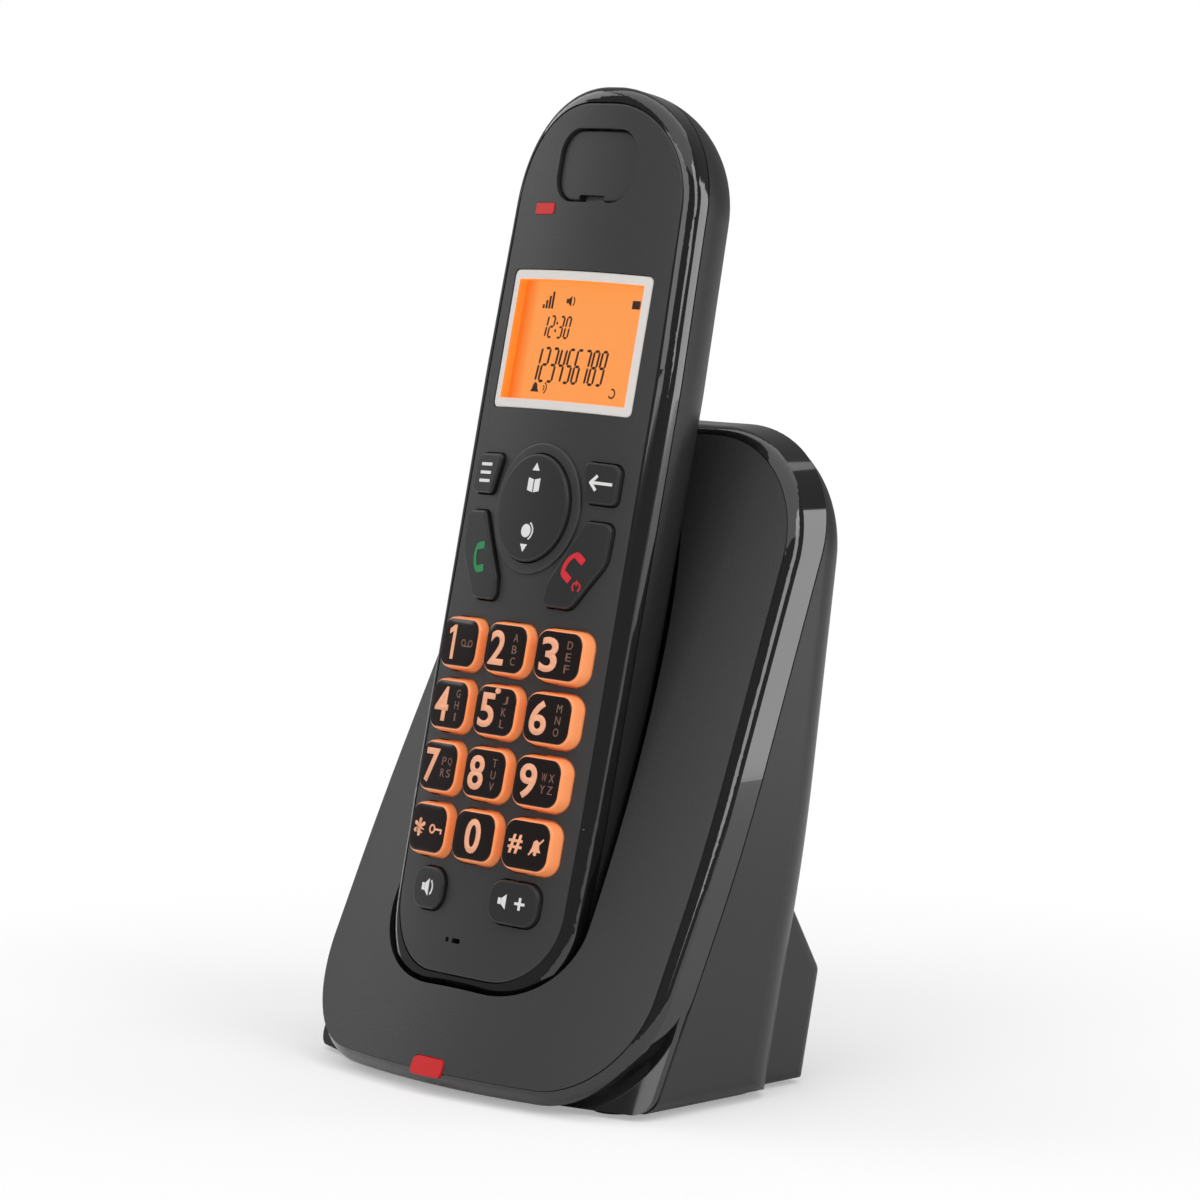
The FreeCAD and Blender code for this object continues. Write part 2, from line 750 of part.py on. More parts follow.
def make_handset_screws():
    screws = []
    for side in (-1, 1):
        x = side * handset_screw_x
        head_y = screw_seat_y()
        shank = rod_y(screw_radius, x, handset_screw_z, cover_wall + 1.6, head_y)
        head = rod_y(screw_head_radius, x, handset_screw_z, head_y, head_y + screw_head_height)
        for recess in crossed_slots(x, handset_screw_z, head_y + 0.6):
            head = head.cut(recess)
        screws.append(shank.fuse(head))
    return Part.makeCompound(screws)


def make_handset():
    nodes = {"handset_front_cover": make_front_cover(), "battery_door": make_door(),
             "charge_plates": make_charge_plates(),
             "keypad_mat": make_keypad_mat(), "handset_board": make_handset_board(),
             "handset_screws": make_handset_screws()}
    for group in (make_housing(), make_display(), make_earpiece(), make_handset_small_parts(),
                  make_battery(), make_keys()):
        nodes.update(group)
    return nodes


# ================================================================ placing
def handset_placement():
    """Leans the upright handset back and lifts it to its place in the base."""
    turn = FreeCAD.Rotation(Vector(1, 0, 0), -handset_lean)
    return FreeCAD.Placement(Vector(0, 0, handset_face_z), turn)


def leant(shape):
    moved = shape.copy()
    moved.Placement = handset_placement().multiply(moved.Placement)
    return moved


def lean_point(x, y, z):
    return handset_placement().multVec(Vector(x, y, z))


# ================================================================ base forms
def base_right(grow, low):
    return [(base_half_top + grow, base_top + grow), (base_half_low + grow, base_break_z),
            (base_half_low + grow, low)]


def base_outline(grow, low_y=-80.0, high_y=80.0):
    """Front-view outline of the base's face, grown all round, as a prism."""
    right = base_right(grow, base_low - grow)
    radii = [base_top_radius + grow, base_break_radius, base_low_radius + grow]
    return front_prism(mirrored(right), radii + radii[::-1], low_y, high_y)


def behind_face(depth=0.0):
    """The solid behind the base's crowned, leaning face, moved straight back by depth."""
    lean = math.radians(base_lean)
    along = Vector(0, math.sin(lean), math.cos(lean))
    back = Vector(0, math.cos(lean), -math.sin(lean))
    middle = Vector(0, face_foot_y + depth, 0) + back * face_crown_radius
    return Part.makeCylinder(face_crown_radius, 2 * far, middle - along * far, along)


def rear_wall_y(z, inset=0.0):
    lean = math.radians(handset_lean)
    return (rear_offset - inset) / math.cos(lean) + (z - handset_face_z) * math.tan(lean)


def rear_outline(grow, low, corner_radius):
    """Front-view outline behind the trim, as a prism."""
    radii = [base_top_radius + grow, base_break_radius, corner_radius]
    return front_prism(mirrored(base_right(grow, low)), radii + radii[::-1], -80.0, 90.0)


def rear_form(inset=0.0, floor=None):
    """Outer form of the rear housing: a leaning block with rounded rear edges, a neck and a heel."""
    grow = trim_bulge - inset
    low = foot_height if floor is None else floor
    body = rear_outline(grow, -far / 5, 0)
    body = body.common(leant(slab(-far, rear_offset - inset)))
    wall_normal = handset_placement().Rotation.multVec(Vector(0, 1, 0))
    for face in body.Faces:
        flat = isinstance(face.Surface, Part.Plane)
        if flat and abs(face.normalAt(0, 0).dot(wall_normal)) > 0.9999 and face.CenterOfMass.y > -30:
            edges = [edge for edge in face.Edges if edge.CenterOfMass.z > -far / 5 + 5]
            body = body.makeFillet(rear_edge_radius - inset, edges)
            break
    heel_y = heel_top[0] - inset
    heel_side = heel_half - inset
    rise_z = neck_z + heel_rise
    profile = [(-20.0, low - 1), (heel_bottom_y - inset, low - 1), (heel_y, heel_top[1] - inset),
               (rear_wall_y(neck_z, inset), neck_z - inset * 0.5),
               (rear_wall_y(rise_z, inset) - 3, rise_z), (-20.0, rise_z)]
    heel = side_prism(profile, [0, 1.0, heel_radius, neck_radius, 0, 0], heel_side)
    if heel_edge_radius - inset > 0.5:
        chain = []
        for edge in heel.Edges:
            middle = edge.CenterOfMass
            on_side = abs(abs(middle.x) - heel_side) < 1e-6
            if on_side and middle.y > -15 and low < middle.z < rise_z - 1:
                chain.append(edge)
        heel = heel.makeFillet(heel_edge_radius - inset, chain)
    return body.fuse(heel).common(rear_outline(grow, low, rear_low_radius))


def well_space(side, back, end):
    """Room that the handset slides down into, round the handset, in the base."""
    return leant(handset_room(side, back, end))


def door_room(extra):
    """Deeper pocket behind the handset's bottom end, so that the battery door can slide."""
    space = handset_room(well_side_gap + extra, well_back_gap + extra,
                         well_end_gap + door_travel + extra)
    return leant(space.common(slab(door_split_y - 0.6 - extra, far)))


# ================================================================ base pieces
def make_base_front_cover():
    face = base_outline(0.0).common(behind_face())
    shell = face.cut(behind_face(face_wall))
    skirt_ring = base_outline(0.0).cut(base_outline(-base_wall + 0.4))
    skirt = skirt_ring.common(behind_face(0.5)).cut(behind_face(trim_depth - 0.2))
    inside = rear_form(base_wall + 0.4, foot_height + bottom_plate_thickness + 0.3)
    room = inside.common(behind_face(1.0))
    well = well_space(well_side_gap + well_wall, well_back_gap + well_wall, well_end_gap + well_wall)
    well = well.fuse(door_room(well_wall)).common(room)
    cover = shell.fuse(skirt).fuse(well)
    cover = cover.cut(well_space(well_side_gap, well_back_gap, well_end_gap)).cut(door_room(0.0))
    for rib in seat_ribs():
        cover = cover.fuse(rib)
    for x in (-charge_plate_x, charge_plate_x):
        top = pin_point(x)
        cover = cover.cut(rod_z(pin_radius + 0.35, x, top.y, 0, top.z + 3))
    cover = cover.cut(light_guide_form(light_guide_gap))
    return cover.removeSplitter()


def seat_ribs():
    """Two ribs in the bottom of the well that the handset stands on."""
    ribs = []
    bed = handset_room(well_side_gap + 0.5, well_back_gap, well_end_gap + 1.0)
    seat = handset_room(seat_rib_gap, seat_rib_gap, seat_rib_gap)
    low = handset_bottom - well_end_gap - well_wall + 0.4
    for side in (-1, 1):
        x = side * seat_rib_x
        rib = block((x - seat_rib_width / 2, 5.5, low),
                    (x + seat_rib_width / 2, door_split_y - 1.0, handset_bottom + 8))
        ribs.append(leant(rib.common(bed).cut(seat)))
    return ribs


def trim_form(grow):
    """Outer form of the trim, which reaches lower than the face."""
    radii = [base_top_radius + grow, base_break_radius, trim_low_radius]
    return front_prism(mirrored(base_right(grow, trim_low)), radii + radii[::-1], -80.0, 80.0)


def make_trim_ring():
    ring = eased(trim_form(trim_bulge).common(behind_face()), face_crown_radius, trim_edge_radius)
    corners = rear_outline(trim_bulge - seam_groove, foot_height, rear_low_radius)
    ring = ring.fuse(corners.common(behind_face(trim_depth - corner_web)))
    ring = ring.cut(base_outline(trim_gap)).cut(behind_face(trim_depth))
    groove = trim_form(trim_bulge + 1).cut(trim_form(trim_bulge - seam_groove))
    ring = ring.cut(groove.common(behind_face(trim_depth - seam_groove)))
    ring = ring.cut(well_space(well_side_gap, well_back_gap, well_end_gap))
    return ring.cut(light_guide_form(light_guide_gap))


def make_rear_housing():
    outer = rear_form().common(behind_face(trim_depth))
    inner = rear_form(base_wall, foot_height - 5.0)
    housing = outer.cut(inner)
    wall_x = base_half_low + trim_bulge - base_wall / 2
    boss_low = foot_height + bottom_plate_thickness + touch_gap
    for x, y in base_screw_places:
        for side in (-1, 1):
            post = rod_z(base_boss_radius, side * x, y, boss_low, base_boss_top)
            web = block((min(side * x, side * wall_x), y - 1.2, boss_low),
                        (max(side * x, side * wall_x), y + 1.2, base_boss_top))
            housing = housing.fuse(post.fuse(web).common(rear_form(0.5)))
            housing = housing.cut(rod_z(screw_radius + screw_clearance, side * x, y, -5, base_boss_top - 1.0))
    for x, size in ((-socket_x, line_socket_size), (socket_x, power_socket_size)):
        housing = housing.cut(socket_box(x, size, socket_gap, far / 4))
    hole = leant(rod_y(page_key_radius + page_key_gap, 0, page_key_z, rear_offset - 8, rear_offset + 8))
    return housing.cut(hole).removeSplitter()


def socket_box(x, size, gap, back_y):
    """Socket body, from just behind the leaning board to the heel's back."""
    lean = math.radians(handset_lean)
    high = socket_low + size[1]
    board_y = (board_depth + base_board_thickness) / math.cos(lean)
    low_y = board_y + (high - handset_face_z) * math.tan(lean) + thin_gap
    half = size[0] / 2 + gap
    return block((x - half, low_y, socket_low - gap), (x + half, back_y, high + gap))


def make_sockets():
    line = socket_box(-socket_x, line_socket_size, 0.0, socket_back_y)
    line_z = socket_low + line_socket_size[1] / 2
    half_x, half_z = line_plug_hole[0] / 2, line_plug_hole[1] / 2
    front_y, back_y = socket_back_y - line_plug_depth, socket_back_y + 1
    line = line.cut(block((-socket_x - half_x, front_y, line_z - half_z),
                          (-socket_x + half_x, back_y, line_z + half_z)))
    latch_top = line_z + half_z + latch_slot_height
    line = line.cut(block((-socket_x - latch_slot_half, front_y, line_z),
                          (-socket_x + latch_slot_half, back_y, latch_top)))
    power = socket_box(socket_x, power_socket_size, 0.0, socket_back_y)
    power_z = socket_low + power_socket_size[1] / 2
    floor_y = socket_back_y - power_depth
    power = power.cut(rod_y(power_hole_radius, socket_x, power_z, floor_y, back_y))
    power = power.fuse(rod_y(power_pin_radius, socket_x, power_z, floor_y - 1, socket_back_y - 1))
    return {"line_socket": line, "power_socket": power}


def make_bottom_plate():
    top = foot_height + bottom_plate_thickness
    plate = rear_form(base_wall + bottom_plate_gap, -5.0).common(behind_face(trim_depth + 0.3))
    plate = plate.common(band_z(foot_height, top))
    for x, y in foot_places:
        for side in (-1, 1):
            plate = plate.cut(rod_z(foot_radius + 0.05, side * x, y, 0, foot_height + foot_inset))
    for x, y in base_screw_places:
        for side in (-1, 1):
            plate = plate.cut(rod_z(screw_radius + 0.2, side * x, y, 0, top + 1))
            plate = plate.cut(rod_z(screw_head_radius + 0.2, side * x, y,
                                    0, foot_height + screw_head_height))
    return plate


def make_feet():
    feet = []
    for x, y in foot_places:
        feet += both_sides(lambda at: rod_z(foot_radius, at, y, 0.0, foot_height + foot_inset), x)
    return Part.makeCompound(feet)


def make_base_screws():
    screws = []
    head_top = foot_height + screw_head_height
    slot_top = foot_height + 0.6
    for place_x, y in base_screw_places:
        for x in (-place_x, place_x):
            head = rod_z(screw_head_radius, x, y, foot_height + thin_gap, head_top)
            head = head.cut(block((x - 1.3, y - 0.25, 0), (x + 1.3, y + 0.25, slot_top)))
            head = head.cut(block((x - 0.25, y - 1.3, 0), (x + 0.25, y + 1.3, slot_top)))
            shank = rod_z(screw_radius, x, y, head_top, head_top + base_screw_length)
            screws.append(head.fuse(shank))
    return Part.makeCompound(screws)


def make_base_board():
    """Board behind the well, parallel to the handset, with its page switch and radio can."""
    low_y, high_y = board_depth, board_depth + base_board_thickness
    board = block((-base_board_half, low_y, base_board_low), (base_board_half, high_y, base_board_high))
    switch = block((-3, high_y, page_key_z - 3), (3, high_y + page_switch_height, page_key_z + 3))
    can = block((-22, high_y, -30), (-2, high_y + 3.0, -8))
    capacitor = rod_y(3.0, 15, -20, high_y, high_y + 5.0)
    return leant(board.fuse(switch).fuse(can).fuse(capacitor).removeSplitter())


def make_page_key():
    """Round key on the back of the base, kept in by a lip and standing off its switch."""
    lip_back = rear_offset - base_wall - 0.3
    lip_front = lip_back - page_key_lip_thickness
    body = rod_y(page_key_radius, 0, page_key_z, lip_front, rear_offset + page_key_proud)
    lip = rod_y(page_key_radius + page_key_lip, 0, page_key_z, lip_front, lip_back)
    switch_end = board_depth + base_board_thickness + page_switch_height
    stem = rod_y(page_stem_radius, 0, page_key_z, switch_end + page_key_travel + thin_gap, lip_back)
    return leant(body.fuse(lip).fuse(stem).removeSplitter())


# ---------------------------------------------------------------- sprung charge contacts
def pin_point(x):
    """Tip of a contact pin: its round end stands just clear of the charge plate."""
    plate = lean_point(x, charge_plate_y, handset_bottom)
    drop = (pin_radius + pin_gap) / math.cos(math.radians(handset_lean))
    return Vector(x, plate.y, plate.z - drop + pin_radius)


def carrier_base():
    return foot_height + bottom_plate_thickness


def spring_bottom():
    return carrier_base() + carrier_floor


def flange_top():
    return carrier_top - carrier_lid - 0.15


def make_pin(x):
    tip = pin_point(x)
    centre_z = tip.z - pin_radius
    low = flange_top() - pin_flange_height
    shaft = rod_z(pin_radius, x, tip.y, low, centre_z)
    dome = Part.makeSphere(pin_radius, Vector(x, tip.y, centre_z))
    flange = rod_z(pin_flange_radius, x, tip.y, low, flange_top())
    return shaft.fuse(dome).fuse(flange).removeSplitter()


def make_spring(x):
    """Coil spring under a contact pin."""
    tip = pin_point(x)
    low = spring_bottom() + spring_wire + 0.05
    high = flange_top() - pin_flange_height - spring_wire - 0.05
    pitch = (high - low) / spring_turns
    helix = Part.makeHelix(pitch, high - low, spring_radius)
    start = helix.Vertexes[0].Point
    along = Vector(0, 1, pitch / (2 * math.pi * spring_radius))
    section = Part.Wire(Part.makeCircle(spring_wire, start, along))
    coil = Part.Wire(helix.Edges).makePipeShell([section], True, True)
    coil.translate(Vector(x, tip.y, low))
    return coil


def make_carrier():
    tip = pin_point(0)
    half = (carrier_size[0] / 2, carrier_size[1] / 2)
    carrier = block((-half[0], tip.y - half[1], carrier_base()),
                    (half[0], tip.y + half[1], carrier_top))
    for x in (-charge_plate_x, charge_plate_x):
        well = rod_z(pin_flange_radius + 0.15, x, tip.y, spring_bottom(), carrier_top - carrier_lid)
        bore = rod_z(pin_radius + pin_fit, x, tip.y, spring_bottom(), carrier_top + 1)
        carrier = carrier.cut(well).cut(bore)
    return carrier


def light_guide_form(gap):
    low_z = base_light_z - base_light_height / 2 - gap
    high_z = base_light_z + base_light_height / 2 + gap
    guide = front_prism(rectangle(base_light_half + gap, (high_z - low_z) / 2, 0, (high_z + low_z) / 2),
                        [1.1 + gap] * 4, -60.0, 60.0)
    if gap:
        return guide.common(behind_face(-3.0)).cut(behind_face(base_light_depth + 6.0))
    return guide.common(behind_face(-base_light_proud)).cut(behind_face(base_light_depth))


def make_base():
    nodes = {"base_front_cover": make_base_front_cover(), "base_trim_ring": make_trim_ring(),
             "base_rear_housing": make_rear_housing(), "base_bottom_plate": make_bottom_plate(),
             "base_feet": make_feet(), "base_screws": make_base_screws(), "base_board": make_base_board(),
             "page_key": make_page_key(), "contact_carrier": make_carrier(),
             "charge_light_guide": light_guide_form(0.0)}
    for side, x in (("left", -charge_plate_x), ("right", charge_plate_x)):
        nodes["contact_pin_" + side] = make_pin(x)
        nodes["contact_spring_" + side] = make_spring(x)
    nodes.update(make_sockets())
    return nodes


# ================================================================ whole phone
def footprint_shift(nodes):
    """Brings the middle of the base, from the front of its trim to its back, to the origin."""
    front = nodes["base_trim_ring"].optimalBoundingBox().YMin
    rear = nodes["base_rear_housing"].optimalBoundingBox().YMax
    return Vector(0, -(front + rear) / 2, 0)


def main():
    os.makedirs("parts", exist_ok=True)
    nodes = {name: leant(shape) for name, shape in make_handset().items()}
    nodes.update(make_base())
    shift = footprint_shift(nodes)
    for name, shape in nodes.items():
        placed = shape.copy()
        placed.translate(shift)
        placed.exportStep(os.path.join("parts", name + ".step"))
        report = (name, len(placed.Solids), placed.isValid(), placed.Volume)
        print("%-24s solids %d  valid %s  volume %.1f" % report)
    print("footprint shift %.4f" % shift.y)


main()
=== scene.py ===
"""Looks of the cordless telephone handset in its charging base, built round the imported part.

Sizes on the handset are in millimetres in its own frame: u across, depth behind the face, v along it.
"""

import bmesh
import bpy
import json
import math
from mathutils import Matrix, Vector


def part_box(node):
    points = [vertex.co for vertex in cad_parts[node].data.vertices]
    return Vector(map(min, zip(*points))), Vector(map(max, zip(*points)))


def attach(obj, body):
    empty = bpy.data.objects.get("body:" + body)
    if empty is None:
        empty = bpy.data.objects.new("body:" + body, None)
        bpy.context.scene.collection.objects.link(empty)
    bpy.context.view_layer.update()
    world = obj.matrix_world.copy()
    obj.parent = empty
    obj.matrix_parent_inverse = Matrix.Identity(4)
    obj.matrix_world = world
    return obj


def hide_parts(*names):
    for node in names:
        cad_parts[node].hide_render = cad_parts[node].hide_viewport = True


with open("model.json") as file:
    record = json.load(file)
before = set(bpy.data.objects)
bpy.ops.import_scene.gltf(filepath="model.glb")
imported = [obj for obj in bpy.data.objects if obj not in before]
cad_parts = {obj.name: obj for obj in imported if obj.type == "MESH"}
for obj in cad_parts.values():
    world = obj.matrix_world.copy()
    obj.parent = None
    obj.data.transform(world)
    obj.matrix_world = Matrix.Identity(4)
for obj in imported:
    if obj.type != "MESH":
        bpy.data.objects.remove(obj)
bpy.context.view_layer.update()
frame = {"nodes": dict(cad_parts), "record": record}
nodes = frame["nodes"]
joints = {joint["name"]: joint for joint in frame["record"]["behaviour"]["joints"]}
slots = {part["node"]: part["material_slot"] for part in frame["record"]["subparts"]}

MM = 0.001
# ---------------------------------------------------------------- the handset's frame
UP = Vector(joints["handset_lift"]["axis"])
BACK = Vector((0.0, UP.z, -UP.y))
RIGHT = Vector((1.0, 0.0, 0.0))
ROCK_DEPTH, ROCK_HEIGHT = 5.3, 25.4
ORIGIN = Vector(joints["key_navigation_rock"]["pos_m"]) - (BACK * ROCK_DEPTH + UP * ROCK_HEIGHT) * MM

# ---------------------------------------------------------------- sizes taken from the part
CROWN_RADIUS = 80.0
KEY_CROWN_RADIUS = 120.0
KEY_HEIGHT = 1.6
PLAIN_HEIGHT = 1.0
NAV_HEIGHT = 1.4
KEY_PITCH = (13.0, 11.2)
KEY_SIZE = (11.6, 9.6)
KEY_RADIUS = 2.8
KEY_LIP = 0.45
LIP_FRONT, LIP_BACK = 4.6, 5.3
PANEL_DEPTH = 3.65
DISPLAY_CENTRE = 55.7
NAV_CENTRE = 25.4


def place(u, depth, v):
    """Point of the handset's frame, in the row frame."""
    return ORIGIN + (RIGHT * u + BACK * depth + UP * v) * MM


def crown(height):
    """Depth of a surface that stands this high above the crowned face, as a function of u."""
    return lambda u: CROWN_RADIUS - math.sqrt((CROWN_RADIUS + height) ** 2 - u * u)


def key_top(u):
    return KEY_CROWN_RADIUS - KEY_HEIGHT - math.sqrt(KEY_CROWN_RADIUS ** 2 - u * u)


def panel_face(u):
    return PANEL_DEPTH


# ---------------------------------------------------------------- shader graphs
class Graph:
    """Nodes of one material or world, emptied first unless they are added to."""

    def __init__(self, tree, emptied=True):
        self.tree = tree
        self.nodes = tree.nodes
        if emptied:
            self.nodes.clear()

    def add(self, kind, **settings):
        node = self.nodes.new(kind)
        for key, value in settings.items():
            setattr(node, key, value)
        return node

    def link(self, source, target):
        self.tree.links.new(source, target)

    def position(self):
        coordinates = self.add("ShaderNodeTexCoord")
        split = self.add("ShaderNodeSeparateXYZ")
        self.link(coordinates.outputs["Object"], split.inputs[0])
        return [Value(self, split.outputs[i]) for i in range(3)]


class Value:
    """A number in a shader graph, with the usual operators."""

    def __init__(self, graph, socket):
        self.graph = graph
        self.socket = socket

    def math(self, operation, *others, first=None):
        node = self.graph.add("ShaderNodeMath", operation=operation)
        operands = [self if first is None else first] + list(others)
        for i, operand in enumerate(operands):
            if isinstance(operand, Value):
                self.graph.link(operand.socket, node.inputs[i])
            else:
                node.inputs[i].default_value = operand
        return Value(self.graph, node.outputs[0])

    def __add__(self, other):
        return self.math("ADD", other)

    def __radd__(self, other):
        return self.math("ADD", other)

    def __sub__(self, other):
        return self.math("SUBTRACT", other)

    def __rsub__(self, other):
        return self.math("SUBTRACT", self, first=other)

    def __mul__(self, other):
        return self.math("MULTIPLY", other)

    def __rmul__(self, other):
        return self.math("MULTIPLY", other)

    def __truediv__(self, other):
        return self.math("DIVIDE", other)

    def __rtruediv__(self, other):
        return self.math("DIVIDE", self, first=other)

    def clamped(self):
        return self.math("MINIMUM", 1.0).math("MAXIMUM", 0.0)


def handset_coordinates(graph):
    """u and v on the handset, in millimetres, inside a shader graph."""
    x, y, z = graph.position()
    along = (y - ORIGIN.y) * UP.y + (z - ORIGIN.z) * UP.z
    return x / MM, along / MM


MIX_COLOUR_A, MIX_COLOUR_B, MIX_COLOUR_OUT = 6, 7, 2       # a Mix node's sockets for colours


def mixed_colour(graph, factor, first, second):
    """Colour output that goes from the first colour to the second with the factor."""
    mix = graph.add("ShaderNodeMix", data_type="RGBA")
    graph.link(factor.socket, mix.inputs["Factor"])
    mix.inputs[MIX_COLOUR_A].default_value = (*first, 1.0)
    mix.inputs[MIX_COLOUR_B].default_value = (*second, 1.0)
    return mix.outputs[MIX_COLOUR_OUT]


def glowing(material):
    """Graph and shader of a finished material, to be added to."""
    graph = Graph(material.node_tree, emptied=False)
    shader = next(node for node in graph.nodes if node.type == "BSDF_PRINCIPLED")
    return graph, shader


def plastic(name, colour, roughness, coat=0.0, grain=0.0, grain_scale=2500.0, metallic=0.0, glow=None,
            glow_strength=0.0, clear=0.0, wear=0.0,
            index=1.45):
    """Moulded material: fine grain as bump, and slight unevenness of the roughness."""
    material = bpy.data.materials.new(name)
    material.use_nodes = True
    graph = Graph(material.node_tree)
    shader = graph.add("ShaderNodeBsdfPrincipled")
    output = graph.add("ShaderNodeOutputMaterial")
    graph.link(shader.outputs[0], output.inputs[0])
    shader.inputs["Base Color"].default_value = (*colour, 1.0)
    shader.inputs["Roughness"].default_value = roughness
    shader.inputs["Metallic"].default_value = metallic
    shader.inputs["Coat Weight"].default_value = coat
    shader.inputs["Coat Roughness"].default_value = 0.04
    shader.inputs["Transmission Weight"].default_value = clear
    shader.inputs["IOR"].default_value = index
    if glow:
        shader.inputs["Emission Color"].default_value = (*glow, 1.0)
        shader.inputs["Emission Strength"].default_value = glow_strength
    coordinates = graph.add("ShaderNodeTexCoord")
    if grain:
        noise = graph.add("ShaderNodeTexNoise")
        noise.inputs["Scale"].default_value = grain_scale
        noise.inputs["Detail"].default_value = 3.0
        graph.link(coordinates.outputs["Object"], noise.inputs["Vector"])
        bump = graph.add("ShaderNodeBump")
        bump.inputs["Strength"].default_value = grain
        bump.inputs["Distance"].default_value = 0.0001
        graph.link(noise.outputs[0], bump.inputs["Height"])
        graph.link(bump.outputs[0], shader.inputs["Normal"])
    if wear:
        cloud = graph.add("ShaderNodeTexNoise")
        cloud.inputs["Scale"].default_value = 60.0
        graph.link(coordinates.outputs["Object"], cloud.inputs["Vector"])
        uneven = Value(graph, cloud.outputs[0]) * wear + (roughness - wear / 2)
        graph.link(uneven.socket, shader.inputs["Roughness"])
    return material


SURROUND_WHITE = (0.75, 0.71, 0.68)
# Extent and edge sharpness of the panel glow painted on the surround's inner walls.
SURROUND_INNER_HALF = (16.35, 10.95)
SURROUND_SHARPNESS = 8.0
PANEL_FADE_START = -15.6
PANEL_FADE_WIDTH = 3.0


def surround_material():
    """White display surround with the lit panel's glow painted on its inner walls, as orange emission and
    orange colour.
    """
    material = plastic("display_white", SURROUND_WHITE, 0.45)
    graph, shader = glowing(material)
    u, v = handset_coordinates(graph)
    across = (SURROUND_INNER_HALF[0] - u.math("ABSOLUTE")) * SURROUND_SHARPNESS
    along = (SURROUND_INNER_HALF[1] - (v - DISPLAY_CENTRE).math("ABSOLUTE")) * SURROUND_SHARPNESS
    panel_glow_mask = across.math("MINIMUM", along).clamped()
    # Painted glow: the inner walls emit orange in place of light falling on them from the panel.
    glow = mixed_colour(graph, panel_glow_mask, (0.0, 0.0, 0.0), (0.95, 0.22, 0.02))
    # Painted panel light: the inner walls' base colour also goes orange where the panel's light falls.
    paint = mixed_colour(graph, panel_glow_mask, SURROUND_WHITE, (0.6, 0.16, 0.03))
    graph.link(glow, shader.inputs["Emission Color"])
    graph.link(paint, shader.inputs["Base Color"])
    shader.inputs["Emission Strength"].default_value = 0.8
    return material


def panel_material():
    """Lit orange panel, deeper in colour along its left edge."""
    material = plastic("display_orange", (0.06, 0.02, 0.006), 0.6)
    graph, shader = glowing(material)
    u = handset_coordinates(graph)[0]
    fade = ((u - PANEL_FADE_START) / PANEL_FADE_WIDTH).clamped()
    glow = mixed_colour(graph, fade, (0.96, 0.16, 0.008), (1.0, 0.335, 0.075))
    graph.link(glow, shader.inputs["Emission Color"])
    shader.inputs["Emission Strength"].default_value = 0.92
    return material


MATERIALS = {
    "matte_cover": plastic("matte_cover", (0.032, 0.032, 0.033), 0.44, grain=0.35, wear=0.05),
    "gloss_black": plastic("gloss_black", (0.006, 0.006, 0.0065), 0.07, coat=0.6),
    "satin_housing": plastic("satin_housing", (0.017, 0.017, 0.018), 0.36, grain=0.12, wear=0.06),
    "soft_key": plastic("soft_key", (0.016, 0.016, 0.017), 0.42, grain=0.15),
    "number_key": plastic("number_key", (0.90, 0.305, 0.114), 0.32, glow=(0.95, 0.26, 0.07),
                          glow_strength=0.18),
    "display_white": surround_material(),
    "display_clear": plastic("display_clear", (1.0, 1.0, 1.0), 0.0, clear=1.0, index=1.04),
    "display_orange": panel_material(),
    "light_red": plastic("light_red", (0.36, 0.003, 0.004), 0.45, coat=0.0, glow=(0.9, 0.01, 0.015),
                         glow_strength=0.22),
    "silicone": plastic("silicone", (0.42, 0.42, 0.42), 0.5, grain=0.1),
    "board_green": plastic("board_green", (0.02, 0.13, 0.05), 0.35),
    "steel": plastic("steel", (0.55, 0.55, 0.56), 0.3, metallic=1.0),
    "gold_plate": plastic("gold_plate", (0.83, 0.62, 0.28), 0.25, metallic=1.0),
    "foot_rubber": plastic("foot_rubber", (0.015, 0.015, 0.015), 0.7, grain=0.4),
    "cell_wrap": plastic("cell_wrap", (0.05, 0.22, 0.08), 0.25, coat=0.3),
    "grey_plastic": plastic("grey_plastic", (0.22, 0.22, 0.23), 0.45, grain=0.1),
}
CAP = plastic("key_cap", (0.008, 0.0035, 0.003), 0.16, coat=0.2)
DIGIT = plastic("digit_print", (0.66, 0.31, 0.19), 0.5, glow=(1.0, 0.44, 0.24), glow_strength=0.24)
LETTER = plastic("letter_print", (0.20, 0.10, 0.07), 0.45)
WHITE = plastic("white_print", (0.78, 0.78, 0.77), 0.45)
GREEN = plastic("green_print", (0.01, 0.24, 0.07), 0.45)
RED = plastic("red_print", (0.66, 0.020, 0.035), 0.45)
INK = plastic("display_ink", (0.035, 0.010, 0.003), 0.4)

for node_name, node in nodes.items():
    node.data.materials.clear()
    node.data.materials.append(MATERIALS[slots[node_name]])


# ---------------------------------------------------------------- meshes
def add_piece(name, faces_of, material, body, smooth=False):
    """Object from a bmesh, riding on a body of the part."""
    bmesh.ops.recalc_face_normals(faces_of, faces=faces_of.faces)
    mesh = bpy.data.meshes.new(name)
    faces_of.to_mesh(mesh)
    faces_of.free()
    mesh.materials.append(material)
    if smooth:
        mesh.shade_smooth()
        mesh.set_sharp_from_angle(angle=math.radians(SHARP_ANGLE))
    piece = bpy.data.objects.new(name, mesh)
    bpy.context.scene.collection.objects.link(piece)
    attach(piece, body)
    return piece


TOP_LOOP_SHARES = (0.75, 0.5, 0.25)    # loops that carry a top's curve in to its middle
EDGE_STEPS = (0, 22.5, 45, 67.5, 90)   # degrees round a top's edge
SHARP_ANGLE = 40


def rounded_rectangle(half_u, half_v, radius, per_corner=8):
    """Points of a rounded rectangle about the origin."""
    points = []
    for corner, (sign_u, sign_v) in enumerate(((1, 1), (-1, 1), (-1, -1), (1, -1))):
        for step in range(per_corner + 1):
            angle = math.radians(90 * corner + 90 * step / per_corner)
            points.append((sign_u * (half_u - radius) + radius * math.cos(angle),
                           sign_v * (half_v - radius) + radius * math.sin(angle)))
    return points


